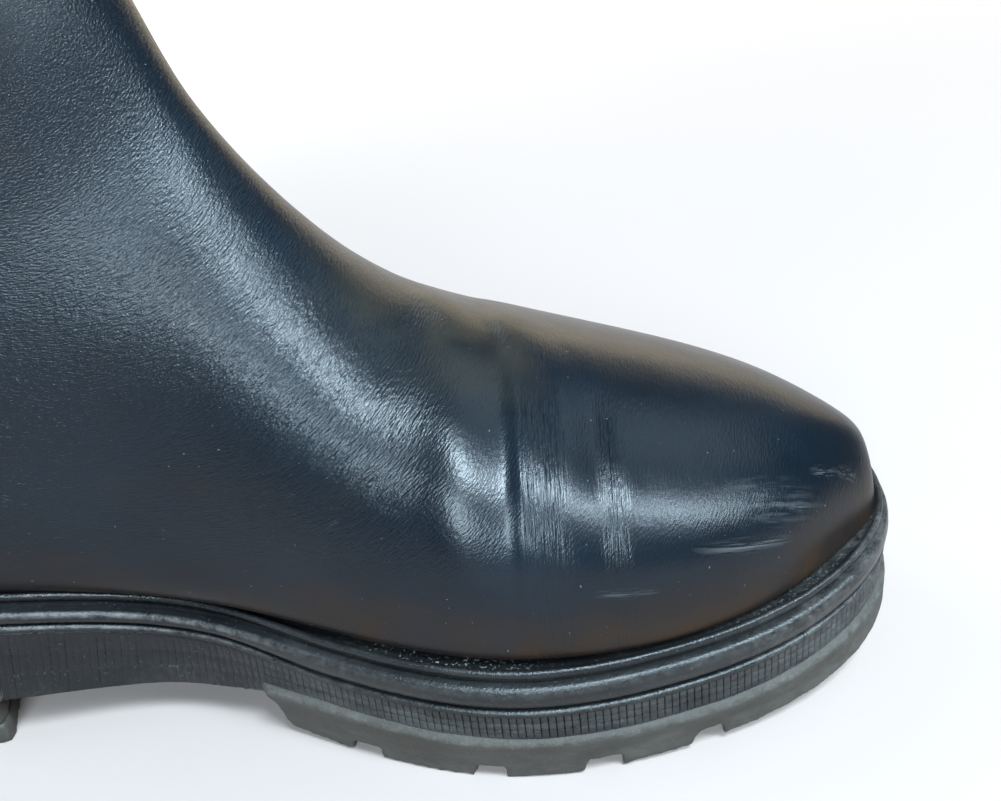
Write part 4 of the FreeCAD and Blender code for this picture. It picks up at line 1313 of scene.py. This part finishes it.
def panel(name, direction, distance, width, height, power, colour=(1, 1, 1)):
    """Soft light at a distance from the boot, facing it."""
    data = bpy.data.lights.new(name, "AREA")
    data.shape = "RECTANGLE"
    data.size, data.size_y = width, height
    data.energy = power
    data.color = colour
    obj = bpy.data.objects.new(name, data)
    bpy.context.scene.collection.objects.link(obj)
    obj.location = AIM + Vector(direction).normalized() * distance
    obj.rotation_euler = (AIM - obj.location).to_track_quat("-Z", "Y").to_euler()
    obj.visible_camera = False


SKY = (0.68, 0.87, 1.0)
panel("key_panel", (0.27, -0.43, 0.86), 1.0, 0.30, 0.24, 25, SKY)
panel("low_panel", (-0.02, -0.87, 0.49), 1.0, 0.40, 0.34, 15, SKY)
panel("toe_panel", (0.69, -0.40, 0.60), 1.0, 0.22, 0.22, 8.6, SKY)
panel("cap_panel", (0.52, 0.32, 0.79), 1.1, 0.5, 0.5, 1.8, SKY)
panel("back_panel", (-0.2, 0.85, 0.55), 1.2, 0.8, 0.5, 2.4)
panel("rear_panel", (-0.72, 0.62, 0.32), 1.1, 0.6, 0.5, 15, SKY)
panel("heel_panel", (-0.95, -0.10, 0.30), 1.1, 0.5, 0.4, 6, SKY)
panel("rim_panel", (0.15, 0.97, 0.17), 1.3, 1.6, 0.40, 3.6, (1.0, 0.84, 0.60))

world = bpy.data.worlds.new("studio_air")
world.use_nodes = True
air = world.node_tree
background = air.nodes["Background"]
background.inputs["Color"].default_value = (0.80, 0.90, 1.0, 1)
background.inputs["Strength"].default_value = 0.075
backdrop = air.nodes.new("ShaderNodeBackground")
backdrop.inputs["Color"].default_value = (0.80, 0.80, 0.80, 1)
either = air.nodes.new("ShaderNodeMixShader")
for k, source in enumerate((air.nodes.new("ShaderNodeLightPath").outputs["Is Camera Ray"],
                            background.outputs[0], backdrop.outputs[0])):
    air.links.new(source, either.inputs[k])
air.links.new(either.outputs[0], air.nodes["World Output"].inputs["Surface"])
bpy.context.scene.world = world
bpy.context.scene.view_settings.view_transform = "Standard"

FLOOR_HALF = 3000
paper = Nodes("studio_paper")
paper.set(paper.mix(paper.noise(3, 3), (0.308, 0.252, 0.230), (0.322, 0.264, 0.242)), 0.9)
spread = paper.node("ShaderNodeTexGradient")
spread.gradient_type = "SPHERICAL"
paper.link(paper.stretch(1.4, 1.4, 1.4), spread.inputs[0])
glow = paper.times(paper.math("SUBTRACT", 1.0, spread.outputs["Fac"], clamp=True), 0.5)
paper.bsdf.inputs["Emission Color"].default_value = (1, 1, 1, 1)
paper.link(glow, paper.bsdf.inputs["Emission Strength"])
corners = [(FLOOR_HALF * i, FLOOR_HALF * j, 0) for i, j in ((-1, -1), (1, -1), (1, 1), (-1, 1))]
floor = add_mesh("studio_floor", corners, np.array([[0, 1, 2, 3]]), paper.mat)

# ------------------------------------------------------------------ camera
CAMERA_AIM = (0.0587, 0.0, 0.06065)
CAMERA_DISTANCE = 0.250
CAMERA_AZIMUTH, CAMERA_HEIGHT, CAMERA_ROLL = 5.27, 30.0, -6.59
FOCAL_MM = 36.0 * 1137.2 / 1001

az, el, roll = (math.radians(v) for v in (CAMERA_AZIMUTH, CAMERA_HEIGHT, CAMERA_ROLL))
back = Vector((math.sin(az) * math.cos(el), -math.cos(az) * math.cos(el), math.sin(el)))
right = Vector((math.cos(az), math.sin(az), 0))
up = back.cross(right)
right, up = (right * math.cos(roll) + up * math.sin(roll), up * math.cos(roll) - right * math.sin(roll))
data = bpy.data.cameras.new("photo_camera")
data.sensor_width = 36.0
data.lens = FOCAL_MM
data.clip_start = 0.01
camera = bpy.data.objects.new("photo_camera", data)
bpy.context.scene.collection.objects.link(camera)
place = Vector(CAMERA_AIM) + back * CAMERA_DISTANCE
frame_matrix = Matrix((right, up, back)).transposed().to_4x4()
frame_matrix.translation = place
camera.matrix_world = frame_matrix
bpy.context.scene.camera = camera
